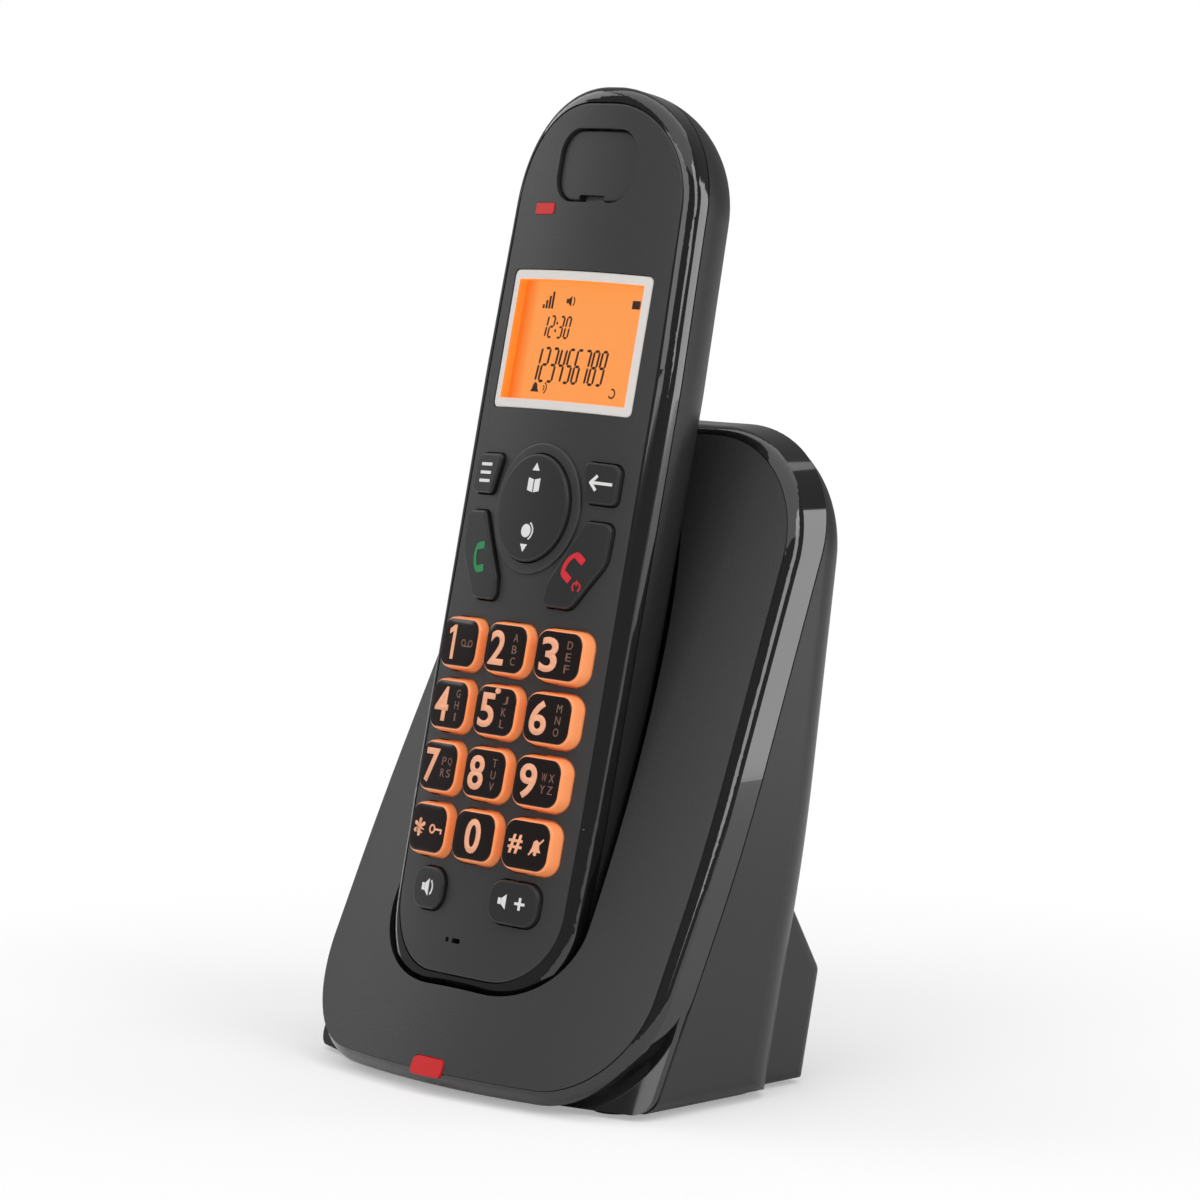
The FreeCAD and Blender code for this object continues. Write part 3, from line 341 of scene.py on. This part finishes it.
def stacked(centre, rings, surface):
    """Closed mesh of rounded rectangles stacked from the back to the front and closed over the top.

    Each ring is (half u, half v, corner radius, depth). The depth is measured from the surface, or
    from the face's plane where it is given as a tuple of one number.
    """
    mesh = bmesh.new()
    loops = []
    for half_u, half_v, radius, depth in rings:
        loop = []
        for du, dv in rounded_rectangle(half_u, half_v, radius):
            u = centre[0] + du
            y = depth[0] if isinstance(depth, tuple) else surface(u) + depth
            loop.append(mesh.verts.new(place(u, y, centre[1] + dv)))
        loops.append(loop)
    last = rings[-1]
    for share in TOP_LOOP_SHARES:
        loop = []
        for du, dv in rounded_rectangle(last[0], last[1], last[2]):
            u = centre[0] + du * share
            loop.append(mesh.verts.new(place(u, surface(u) + last[3], centre[1] + dv * share)))
        loops.append(loop)
    middle = mesh.verts.new(place(centre[0], surface(centre[0]) + last[3], centre[1]))
    mesh.faces.new(loops[0])
    for low, high in zip(loops, loops[1:]):
        for i in range(len(low)):
            j = (i + 1) % len(low)
            mesh.faces.new((low[i], low[j], high[j], high[i]))
    for i in range(len(loops[-1])):
        mesh.faces.new((loops[-1][i], loops[-1][(i + 1) % len(loops[-1])], middle))
    return mesh


def rounding(half_u, half_v, radius, edge, top):
    """Rings of a rounded top edge that ends at this depth from the surface."""
    rings = []
    for degrees in EDGE_STEPS:
        angle = math.radians(degrees)
        inset = edge * (1 - math.cos(angle))
        rings.append((half_u - inset, half_v - inset, max(radius - inset, 0.2),
                      top + edge * (1 - math.sin(angle))))
    return rings


PRINT_SINK = 0.05


def printed(name, polygons, surface, lift, material, body):
    """Thin raised print: polygons in u and v, given as lists of points, standing on a surface."""
    mesh = bmesh.new()
    for polygon in polygons:
        top = [mesh.verts.new(place(u, surface(u) - lift, v)) for u, v in polygon]
        low = [mesh.verts.new(place(u, surface(u) + PRINT_SINK, v)) for u, v in polygon]
        mesh.faces.new(top)
        mesh.faces.new(low[::-1])
        for i in range(len(top)):
            j = (i + 1) % len(top)
            mesh.faces.new((top[j], top[i], low[i], low[j]))
    return add_piece(name, mesh, material, body)


def box(u, v, width, height):
    return [(u - width / 2, v - height / 2), (u + width / 2, v - height / 2),
            (u + width / 2, v + height / 2), (u - width / 2, v + height / 2)]


def disc(u, v, radius, count=20):
    return [(u + radius * math.cos(2 * math.pi * i / count), v + radius * math.sin(2 * math.pi * i / count))
            for i in range(count)]


def stroke(points, width):
    """Polygons that draw a line through the points."""
    shapes = []
    for (u0, v0), (u1, v1) in zip(points, points[1:]):
        length = math.hypot(u1 - u0, v1 - v0)
        du, dv = (u1 - u0) / length * width / 2, (v1 - v0) / length * width / 2
        shapes.append([(u0 - dv, v0 + du), (u0 + dv, v0 - du), (u1 + dv, v1 - du), (u1 - dv, v1 + du)])
    shapes += [disc(u, v, width / 2, 10) for u, v in points[1:-1]]
    return shapes


def arc(u, v, radius, start, end, count=10):
    angles = [math.radians(start + (end - start) * i / count) for i in range(count + 1)]
    return [(u + radius * math.cos(angle), v + radius * math.sin(angle)) for angle in angles]


def turned(shapes, u, v, degrees):
    c, s = math.cos(math.radians(degrees)), math.sin(math.radians(degrees))
    return [[(u + (a - u) * c - (b - v) * s, v + (a - u) * s + (b - v) * c) for a, b in shape]
            for shape in shapes]


def lettered(name, text, centre, size, surface, lift, material, body, bold=0.0):
    """Text as raised print that fills a width and a height on the surface."""
    curve = bpy.data.curves.new(name, "FONT")
    curve.body = text
    curve.offset = bold
    curve.resolution_u = 4
    source = bpy.data.objects.new(name, curve)
    bpy.context.scene.collection.objects.link(source)
    mesh = bpy.data.meshes.new_from_object(source.evaluated_get(bpy.context.evaluated_depsgraph_get()))
    bpy.data.objects.remove(source)
    shape = bmesh.new()
    shape.from_mesh(mesh)
    bpy.data.meshes.remove(mesh)
    bmesh.ops.remove_doubles(shape, verts=shape.verts, dist=1e-5)
    low = [min(vert.co[i] for vert in shape.verts) for i in range(2)]
    high = [max(vert.co[i] for vert in shape.verts) for i in range(2)]
    for vert in shape.verts:
        u = centre[0] + ((vert.co.x - low[0]) / (high[0] - low[0]) - 0.5) * size[0]
        v = centre[1] + ((vert.co.y - low[1]) / (high[1] - low[1]) - 0.5) * size[1]
        vert.co = (u, v, 0.0)
    bmesh.ops.recalc_face_normals(shape, faces=shape.faces)
    extruded = bmesh.ops.extrude_face_region(shape, geom=shape.faces[:])
    raised = {item for item in extruded["geom"] if isinstance(item, bmesh.types.BMVert)}
    for vert in shape.verts:
        u, v = vert.co.x, vert.co.y
        vert.co = place(u, surface(u) + (-lift if vert in raised else PRINT_SINK), v)
    return add_piece(name, shape, material, body)


# ---------------------------------------------------------------- number keys
CAP_SIZE = (10.3, 8.4)
CAP_RADIUS = 2.2
CAP_SINK = 0.2                 # the cap starts this far inside the orange body
CAP_RISE = 0.12
BODY_TAPER = 0.25
BODY_EDGE = 0.55
PRINT_LIFT = 0.08
DIGIT_SIZE = (4.0, 6.2)
DIGIT_SHIFT = -1.9             # the digit stands to the left of its letters
DIGIT_BOLD = 0.02
SIGN_SIZE = (3.2, 3.4)
SIGN_SHIFT = -2.3
LETTER_SIZE = (1.15, 1.45)
NARROW_LETTER_SIZE = (0.4, 1.45)
LETTER_SHIFT = 2.6
LETTER_COLUMN_PITCH = 1.7
LETTER_ROW_PITCH = 2.1
SMALL_SIGN_SHIFT = 2.5
NIB_PLACE = (0.4, 3.6)
NIB_RADIUS = 0.5
NIB_HEIGHT = 0.35
LETTERS = {"key_2": "ABC", "key_3": "DEF", "key_4": "GHI", "key_5": "JKL", "key_6": "MNO",
           "key_7": "PQRS", "key_8": "TUV", "key_9": "WXYZ"}
NUMBER_KEYS = ["key_1", "key_2", "key_3", "key_4", "key_5", "key_6",
               "key_7", "key_8", "key_9", "key_star", "key_0", "key_hash"]
SIGNS = {"key_star": "*", "key_hash": "#"}


def cap_top(u):
    return key_top(u) - CAP_RISE


def digit_one(u, v):
    """Upright bar with a flag at its top left."""
    return [(u - 0.1, v - 3.1), (u + 0.75, v - 3.1), (u + 0.75, v + 3.1), (u + 0.1, v + 3.1),
            (u - 1.2, v + 2.3), (u - 1.2, v + 1.4), (u - 0.1, v + 1.9)]


def tape_sign(u, v):
    """Two reels and the tape under them."""
    reels = stroke(arc(u - 1.0, v, 0.55, 0, 360, 14), 0.25) + stroke(arc(u + 1.0, v, 0.55, 0, 360, 14), 0.25)
    return reels + stroke([(u - 1.0, v - 0.55), (u + 1.0, v - 0.55)], 0.25)


def lock_sign(u, v):
    """Small door key."""
    bow = stroke(arc(u - 0.9, v, 0.7, 0, 360, 14), 0.35)
    return bow + stroke([(u - 0.2, v), (u + 1.9, v)], 0.35) + [box(u + 1.7, v - 0.4, 0.35, 0.7)]


def bell_sign(u, v):
    """Bell struck through."""
    bell = [(u - 1.2, v - 0.9), (u + 1.2, v - 0.9), (u + 0.8, v - 0.2), (u + 0.6, v + 0.9),
            (u, v + 1.3), (u - 0.6, v + 0.9), (u - 0.8, v - 0.2)]
    return [bell, disc(u, v - 1.2, 0.35, 10)] + stroke([(u - 1.4, v - 1.5), (u + 1.5, v + 1.5)], 0.3)


SMALL_SIGNS = {"key_1": (".tape_sign", tape_sign, LETTER), "key_star": (".lock_sign", lock_sign, DIGIT),
               "key_hash": (".bell_sign", bell_sign, DIGIT)}


def number_key_body(key, middle):
    """Orange body with its lip, and the dark cap on it."""
    half = (KEY_SIZE[0] / 2, KEY_SIZE[1] / 2)
    lip = (half[0] + KEY_LIP, half[1] + KEY_LIP, KEY_RADIUS + KEY_LIP)
    rings = [(*lip, (LIP_BACK,)), (*lip, (LIP_FRONT,)),
             (half[0], half[1], KEY_RADIUS, (LIP_FRONT,)), (half[0], half[1], KEY_RADIUS, KEY_HEIGHT)]
    rings += rounding(half[0] - BODY_TAPER, half[1] - BODY_TAPER, KEY_RADIUS - BODY_TAPER, BODY_EDGE, 0.0)
    body_piece = add_piece(key + ".body", stacked(middle, rings, key_top), MATERIALS["number_key"], key,
                           smooth=True)
    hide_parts(key)
    cap = (CAP_SIZE[0] / 2, CAP_SIZE[1] / 2, CAP_RADIUS)
    cap_rings = [(*cap, CAP_SINK)] + rounding(*cap, CAP_RISE, -CAP_RISE)
    add_piece(key + ".cap", stacked(middle, cap_rings, key_top), CAP, key, smooth=True)


def number_key_label(key, middle):
    """Digit or sign on the left of the cap."""
    if key == "key_1":
        shape = digit_one(middle[0] + DIGIT_SHIFT, middle[1])
        printed("key_1.digit", [shape], cap_top, PRINT_LIFT, DIGIT, key)
        return
    size, shift = (SIGN_SIZE, SIGN_SHIFT) if key in SIGNS else (DIGIT_SIZE, DIGIT_SHIFT)
    if key == "key_0":
        shift = 0.0
    label = SIGNS.get(key, key.split("_")[1])
    lettered(key + ".digit", label, (middle[0] + shift, middle[1]), size, cap_top, PRINT_LIFT,
             DIGIT, key, bold=DIGIT_BOLD)


def number_key_letters(key, middle):
    """Small letters in one column, or in two where there are four."""
    letters = LETTERS.get(key, "")
    columns = [letters] if len(letters) < 4 else [letters[0::2], letters[1::2]]
    for column, text in enumerate(columns):
        for row, letter in enumerate(text):
            u = middle[0] + LETTER_SHIFT + (column - (len(columns) - 1) / 2) * LETTER_COLUMN_PITCH
            v = middle[1] + ((len(text) - 1) / 2 - row) * LETTER_ROW_PITCH
            size = NARROW_LETTER_SIZE if letter == "I" else LETTER_SIZE
            lettered("%s.letter_%s" % (key, letter), letter, (u, v), size, cap_top, PRINT_LIFT, LETTER, key)


for index, key in enumerate(NUMBER_KEYS):
    middle = ((index % 3 - 1) * KEY_PITCH[0], -(index // 3) * KEY_PITCH[1])
    number_key_body(key, middle)
    number_key_label(key, middle)
    number_key_letters(key, middle)
    if key in SMALL_SIGNS:
        ending, draw, paint = SMALL_SIGNS[key]
        printed(key + ending, draw(middle[0] + SMALL_SIGN_SHIFT, middle[1]), cap_top, PRINT_LIFT, paint, key)
    if key == "key_5":
        nib = disc(middle[0] + NIB_PLACE[0], middle[1] + NIB_PLACE[1], NIB_RADIUS)
        printed(key + ".nib", [nib], cap_top, NIB_HEIGHT, DIGIT, key)


# ---------------------------------------------------------------- signs on the plain keys
def receiver_sign(u, v, length, degrees):
    """Telephone receiver: a bowed grip with two heavier ends."""
    radius = length * 0.75
    grip = stroke(arc(u, v - radius * 0.75, radius, 50, 130, 12), length * 0.16)
    ends = [box(u + side * length * 0.42, v - length * 0.18, length * 0.26, length * 0.4)
            for side in (-1, 1)]
    return turned(grip + ends, u, v, degrees)


def speaker_sign(u, v, size):
    """Loudspeaker cone with its magnet."""
    cone = [(u, v - size * 0.25), (u + size * 0.45, v - size * 0.6), (u + size * 0.45, v + size * 0.6),
            (u, v + size * 0.25)]
    return [cone, box(u - size * 0.2, v, size * 0.34, size * 0.5)]


def power_sign(u, v):
    """Open ring with an upright stroke."""
    return stroke(arc(u, v, 0.8, -60, 240, 14), 0.3) + [box(u, v + 0.7, 0.3, 0.9)]


def back_sign(v):
    """Arrow to the left."""
    return stroke([(14.2, v + 1.3), (12.9, v), (14.2, v - 1.3)], 0.55) + [box(15.4, v, 4.2, 0.55)]


def plus_sign(u, v, size, width):
    return [box(u, v, size, width), box(u, v, width, size)]


def book_sign(v):
    """Two open pages, whose lower edge is at v."""
    left = [(-1.5, v + 0.3), (-0.15, v), (-0.15, v + 2.3), (-1.5, v + 2.6)]
    right = [(0.15, v), (1.5, v + 0.3), (1.5, v + 2.6), (0.15, v + 2.3)]
    return [left, right]


MENU_KEY_V = 31.0
LOW_KEY_V = -43.9
plain_top = crown(PLAIN_HEIGHT)
nav_top = crown(NAV_HEIGHT)
ARROW_HALF, ARROW_BASE, ARROW_TIP = 0.9, 6.6, 8.0
arrows = [[(-ARROW_HALF, NAV_CENTRE + ARROW_BASE), (ARROW_HALF, NAV_CENTRE + ARROW_BASE),
           (0.0, NAV_CENTRE + ARROW_TIP)],
          [(-ARROW_HALF, NAV_CENTRE - ARROW_BASE), (0.0, NAV_CENTRE - ARROW_TIP),
           (ARROW_HALF, NAV_CENTRE - ARROW_BASE)]]
menu_lines = [box(-15.1, MENU_KEY_V + step, 3.4, 0.55) for step in (-1.5, 0.0, 1.5)]
speaking = speaker_sign(-11.9, LOW_KEY_V, 2.6) + stroke(arc(-11.2, LOW_KEY_V, 1.6, -50, 50), 0.35)
louder = speaker_sign(8.9, LOW_KEY_V, 2.2) + plus_sign(13.0, LOW_KEY_V, 2.2, 0.5)
list_disc = [disc(0.0, NAV_CENTRE - 4.2, 1.2)] + stroke(arc(0.0, NAV_CENTRE - 4.2, 1.7, -60, 60), 0.3)
PLAIN_SIGNS = [("call_sign", receiver_sign(-12.9, 15.6, 5.0, 100), plain_top, GREEN, "key_call"),
               ("end_sign", receiver_sign(11.6, 16.2, 5.0, 55), plain_top, RED, "key_end"),
               ("power_sign", power_sign(13.6, 12.4), plain_top, RED, "key_end"),
               ("menu_sign", menu_lines, plain_top, WHITE, "key_menu_left"),
               ("back_sign", back_sign(MENU_KEY_V), plain_top, WHITE, "key_menu_right"),
               ("speaker_sign", speaking, plain_top, WHITE, "key_loudspeaker"),
               ("volume_sign", louder, plain_top, WHITE, "key_volume"),
               ("nav_signs", arrows, nav_top, WHITE, "key_navigation"),
               ("book_sign", book_sign(NAV_CENTRE + 2.7), nav_top, WHITE, "key_navigation"),
               ("list_sign", list_disc, nav_top, WHITE, "key_navigation")]
for name, shapes, surface, paint, key in PLAIN_SIGNS:
    printed(name, shapes, surface, PRINT_LIFT, paint, key)

# ---------------------------------------------------------------- what the display shows
SEGMENTS = {"0": "abcdef", "1": "bc", "2": "abged", "3": "abgcd", "4": "fgbc", "5": "afgcd",
            "6": "afgedc", "7": "abc", "8": "abcdefg", "9": "abcdfg"}
INK_SLANT = 0.12


def segment_digit(digit, u, v, width, height, thick):
    """Segments of one digit whose lower left corner is at (u, v)."""
    half = height / 2
    ends = {"a": ((0, height), (width, height)), "b": ((width, height), (width, half)),
            "c": ((width, half), (width, 0)), "d": ((0, 0), (width, 0)), "e": ((0, half), (0, 0)),
            "f": ((0, height), (0, half)), "g": ((0, half), (width, half))}
    shapes = []
    gap = thick * 0.12
    for name in SEGMENTS[digit]:
        (a, b), (c, d) = ends[name]
        length = math.hypot(c - a, d - b)
        du, dv = (c - a) / length, (d - b) / length
        start = (a + du * gap, b + dv * gap)
        end = (c - du * gap, d - dv * gap)
        t = thick / 2
        corners = [start, (start[0] + du * t - dv * t, start[1] + dv * t + du * t),
                   (end[0] - du * t - dv * t, end[1] - dv * t + du * t), end,
                   (end[0] - du * t + dv * t, end[1] - dv * t - du * t),
                   (start[0] + du * t + dv * t, start[1] + dv * t - du * t)]
        shapes.append([(u + x + y * INK_SLANT, v + y) for x, y in corners])
    return shapes


INK_LIFT = 0.03
NUMBER_START, NUMBER_PITCH, NUMBER_FOOT = -11.1, 2.14, 48.6
NUMBER_SIZE = (1.3, 6.0, 0.5)          # width, height and stroke of the large digits
TIME_START, TIME_PITCH, TIME_FOOT = -10.3, 1.75, 56.6
TIME_SIZE = (1.0, 3.8, 0.4)
TIME_GAP = 0.7                         # room for the colon
TOP_ROW = 63.3
SIGNAL_START, SIGNAL_PITCH, SIGNAL_BARS = -10.8, 0.75, 4


def display_ink():
    """Everything that the panel shows: a number, a time and a row of small signs above and below."""
    ink = []
    for column, digit in enumerate("123456789"):
        ink += segment_digit(digit, NUMBER_START + column * NUMBER_PITCH, NUMBER_FOOT, *NUMBER_SIZE)
    for column, digit in enumerate("1230"):
        u = TIME_START + column * TIME_PITCH + (TIME_GAP if column > 1 else 0.0)
        ink += segment_digit(digit, u, TIME_FOOT, *TIME_SIZE)
    ink += [box(-6.7, 57.8, 0.4, 0.5), box(-6.5, 59.2, 0.4, 0.5)]
    ink += [box(SIGNAL_START + SIGNAL_PITCH * bar, 62.1 + 0.4 * bar, 0.5, 0.7 + 0.8 * bar)
            for bar in range(SIGNAL_BARS)]
    ink += speaker_sign(-4.4, TOP_ROW, 1.6) + stroke(arc(-3.9, TOP_ROW, 1.0, -50, 50), 0.25)
    ink += [box(13.1, TOP_ROW, 2.0, 1.5), box(14.4, TOP_ROW, 0.4, 0.8)]
    ink.append([(-10.6, 46.6), (-8.4, 46.6), (-8.8, 47.2), (-9.0, 48.0), (-9.5, 48.4),
                (-10.0, 48.0), (-10.2, 47.2)])
    ink += stroke(arc(-7.6, 47.4, 0.5, -60, 60), 0.25) + stroke(arc(-7.6, 47.4, 1.1, -60, 60), 0.25)
    return ink + stroke(arc(10.6, 47.3, 0.8, -150, 110), 0.3)


printed("display_figures", display_ink(), panel_face, INK_LIFT, INK, "handset")


# ---------------------------------------------------------------- repeats made with geometry nodes
def repeated(name, size, start, step, count, material, body):
    """A row of equal small bars: size, start and step in the row frame, in metres."""
    tree = bpy.data.node_groups.new(name, "GeometryNodeTree")
    tree.interface.new_socket("Geometry", in_out="INPUT", socket_type="NodeSocketGeometry")
    tree.interface.new_socket("Count", in_out="INPUT", socket_type="NodeSocketInt")
    for label in ("Start", "Step", "Size"):
        tree.interface.new_socket(label, in_out="INPUT", socket_type="NodeSocketVector")
    tree.interface.new_socket("Geometry", in_out="OUTPUT", socket_type="NodeSocketGeometry")
    entry = tree.nodes.new("NodeGroupInput")
    leave = tree.nodes.new("NodeGroupOutput")
    line = tree.nodes.new("GeometryNodeMeshLine")
    cube = tree.nodes.new("GeometryNodeMeshCube")
    spread = tree.nodes.new("GeometryNodeInstanceOnPoints")
    real = tree.nodes.new("GeometryNodeRealizeInstances")
    paint = tree.nodes.new("GeometryNodeSetMaterial")
    paint.inputs["Material"].default_value = material
    tree.links.new(entry.outputs["Count"], line.inputs["Count"])
    tree.links.new(entry.outputs["Start"], line.inputs["Start Location"])
    tree.links.new(entry.outputs["Step"], line.inputs["Offset"])
    tree.links.new(entry.outputs["Size"], cube.inputs["Size"])
    tree.links.new(line.outputs[0], spread.inputs["Points"])
    tree.links.new(cube.outputs[0], spread.inputs["Instance"])
    tree.links.new(spread.outputs[0], real.inputs[0])
    tree.links.new(real.outputs[0], paint.inputs[0])
    tree.links.new(paint.outputs[0], leave.inputs[0])
    holder = bpy.data.objects.new(name + "_source", bpy.data.meshes.new(name + "_source"))
    bpy.context.scene.collection.objects.link(holder)
    modifier = holder.modifiers.new("repeat", "NODES")
    modifier.node_group = tree
    values = {"Count": count, "Start": start, "Step": step, "Size": size}
    for item in tree.interface.items_tree:
        if item.item_type == "SOCKET" and item.in_out == "INPUT" and item.name in values:
            modifier[item.identifier] = values[item.name]
    holder.update_tag()
    evaluated = holder.evaluated_get(bpy.context.evaluated_depsgraph_get())
    mesh = bpy.data.meshes.new_from_object(evaluated)
    bpy.data.objects.remove(holder)
    piece = bpy.data.objects.new(name, mesh)
    bpy.context.scene.collection.objects.link(piece)
    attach(piece, body)
    return piece


WIRE_COUNT = 4
WIRE_PITCH = 1.02
WIRE_SIZE = (0.45, 9.0, 0.35)
WIRE_BEHIND, WIRE_BELOW = 6.5, 3.0     # the wires' middle, from the socket's back and top
socket_low, socket_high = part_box("line_socket")
wire_start = ((socket_low.x + socket_high.x) / 2 - (WIRE_COUNT - 1) / 2 * WIRE_PITCH * MM,
              socket_high.y - WIRE_BEHIND * MM, socket_high.z - WIRE_BELOW * MM)
wires = repeated("line_socket_wires", tuple(size * MM for size in WIRE_SIZE), wire_start,
                 (WIRE_PITCH * MM, 0.0, 0.0), WIRE_COUNT, MATERIALS["gold_plate"], "base")

# ---------------------------------------------------------------- grip on the battery door
DOOR_BACK = 22.0
RIDGE_COUNT = 6
RIDGE_LOW, RIDGE_PITCH = -9.0, 1.6
RIDGE_HALF, RIDGE_HALF_HEIGHT = 6.0, 0.35
RIDGE_PROUD, RIDGE_SINK = 0.3, 0.2


def door_ridges():
    """Short ridges across the door, narrower at their tops."""
    mesh = bmesh.new()
    for number in range(RIDGE_COUNT):
        v = RIDGE_LOW + number * RIDGE_PITCH
        rings = []
        for depth, tall in ((DOOR_BACK - RIDGE_SINK, RIDGE_HALF_HEIGHT),
                            (DOOR_BACK + RIDGE_PROUD, RIDGE_HALF_HEIGHT * 0.5)):
            corners = ((-RIDGE_HALF, -tall), (RIDGE_HALF, -tall), (RIDGE_HALF, tall), (-RIDGE_HALF, tall))
            rings.append([mesh.verts.new(place(u, depth, v + dv)) for u, dv in corners])
        mesh.faces.new(rings[0])
        mesh.faces.new(rings[1][::-1])
        for i in range(4):
            j = (i + 1) % 4
            mesh.faces.new((rings[0][i], rings[0][j], rings[1][j], rings[1][i]))
    return mesh


add_piece("battery_door_grip", door_ridges(), MATERIALS["satin_housing"], "battery_door")

# ---------------------------------------------------------------- stage, light and camera
scene = bpy.context.scene
FLOOR_REACH = 6.0
FLOOR_FADE_START = 0.09        # metres from the middle, where the floor starts to go white for the camera
FLOOR_FADE_WIDTH = 0.11
FLOOR_LIFT = 0.35              # share of white on the floor beside the phone
FLOOR_COLOUR = (0.94, 0.94, 0.94, 1.0)
WHITE_LIGHT = (1.0, 1.0, 1.0, 1.0)
ROOM_LIGHT = 0.22
SEEN_BACKDROP = 1.0


def mixed_shaders(graph, share, first, second):
    mix = graph.add("ShaderNodeMixShader")
    graph.link(share, mix.inputs[0])
    graph.link(first.outputs[0], mix.inputs[1])
    graph.link(second.outputs[0], mix.inputs[2])
    return mix


def stage_floor():
    """White floor that keeps the contact shadow and goes to pure white further out."""
    mesh = bpy.data.meshes.new("floor")
    corners = [(-FLOOR_REACH, -FLOOR_REACH, 0), (FLOOR_REACH, -FLOOR_REACH, 0),
               (FLOOR_REACH, FLOOR_REACH, 0), (-FLOOR_REACH, FLOOR_REACH, 0)]
    mesh.from_pydata(corners, [], [(0, 1, 2, 3)])
    floor = bpy.data.objects.new("floor", mesh)
    scene.collection.objects.link(floor)
    material = bpy.data.materials.new("floor")
    material.use_nodes = True
    graph = Graph(material.node_tree)
    shader = graph.add("ShaderNodeBsdfPrincipled")
    shader.inputs["Base Color"].default_value = FLOOR_COLOUR
    shader.inputs["Roughness"].default_value = 0.6
    shader.inputs["Specular IOR Level"].default_value = 0.1
    x, y = graph.position()[:2]
    distance = (x * x + y * y).math("SQRT")
    fade = ((distance - FLOOR_FADE_START) / FLOOR_FADE_WIDTH).clamped()
    seen = Value(graph, graph.add("ShaderNodeLightPath").outputs["Is Camera Ray"])
    share = seen * (fade * (1.0 - FLOOR_LIFT) + FLOOR_LIFT)
    white = graph.add("ShaderNodeEmission")
    white.inputs["Color"].default_value = WHITE_LIGHT
    white.inputs["Strength"].default_value = 1.0
    mix = mixed_shaders(graph, share.socket, shader, white)
    output = graph.add("ShaderNodeOutputMaterial")
    graph.link(mix.outputs[0], output.inputs[0])
    mesh.materials.append(material)


def stage_world():
    """Dim white room, which the camera sees as a white backdrop."""
    world = bpy.data.worlds.new("studio")
    scene.world = world
    world.use_nodes = True
    graph = Graph(world.node_tree)
    rays = graph.add("ShaderNodeLightPath")
    backdrops = []
    for strength in (ROOM_LIGHT, SEEN_BACKDROP):
        backdrop = graph.add("ShaderNodeBackground")
        backdrop.inputs["Color"].default_value = WHITE_LIGHT
        backdrop.inputs["Strength"].default_value = strength
        backdrops.append(backdrop)
    mix = mixed_shaders(graph, rays.outputs["Is Camera Ray"], *backdrops)
    output = graph.add("ShaderNodeOutputWorld")
    graph.link(mix.outputs[0], output.inputs[0])


AIM = (0.0, 0.0, 0.08)
SOFTBOXES = [("overhead", (0.1, -0.1, 1.3), (2.2, 2.2), 17.0),
             ("left", (-1.3, -0.35, 0.8), (0.9, 0.9), 4.5),
             ("right", (1.25, 0.05, 0.75), (0.5, 1.0), 6.0),
             ("front", (0.2, -1.5, 0.9), (1.2, 0.6), 5.0),
             ("right_back", (0.9, 0.95, 0.35), (0.35, 0.8), 3.0)]


def softbox(name, where, size, power):
    light = bpy.data.lights.new(name, "AREA")
    light.shape = "RECTANGLE"
    light.size, light.size_y = size
    light.energy = power
    lamp = bpy.data.objects.new(name, light)
    lamp.location = where
    lamp.rotation_euler = (Vector(AIM) - Vector(where)).to_track_quat("-Z", "Y").to_euler()
    scene.collection.objects.link(lamp)


stage_floor()
stage_world()
for arguments in SOFTBOXES:
    softbox(*arguments)

CAMERA_FROM_HANDSET = (652.57, -587.15, 112.14)
CAMERA_DOWN, CAMERA_ROUND = 6.71, 47.0     # degrees
LENS, SENSOR_WIDTH = 150.0, 36.0
camera_data = bpy.data.cameras.new("camera")
camera_data.lens = LENS
camera_data.sensor_width = SENSOR_WIDTH
camera_data.dof.use_dof = False
camera = bpy.data.objects.new("camera", camera_data)
camera.location = ORIGIN + Vector(CAMERA_FROM_HANDSET) * MM
camera.rotation_euler = (math.radians(90.0 - CAMERA_DOWN), 0.0, math.radians(CAMERA_ROUND))
scene.collection.objects.link(camera)
scene.camera = camera
scene.view_settings.view_transform = "Standard"
scene.view_settings.look = "None"
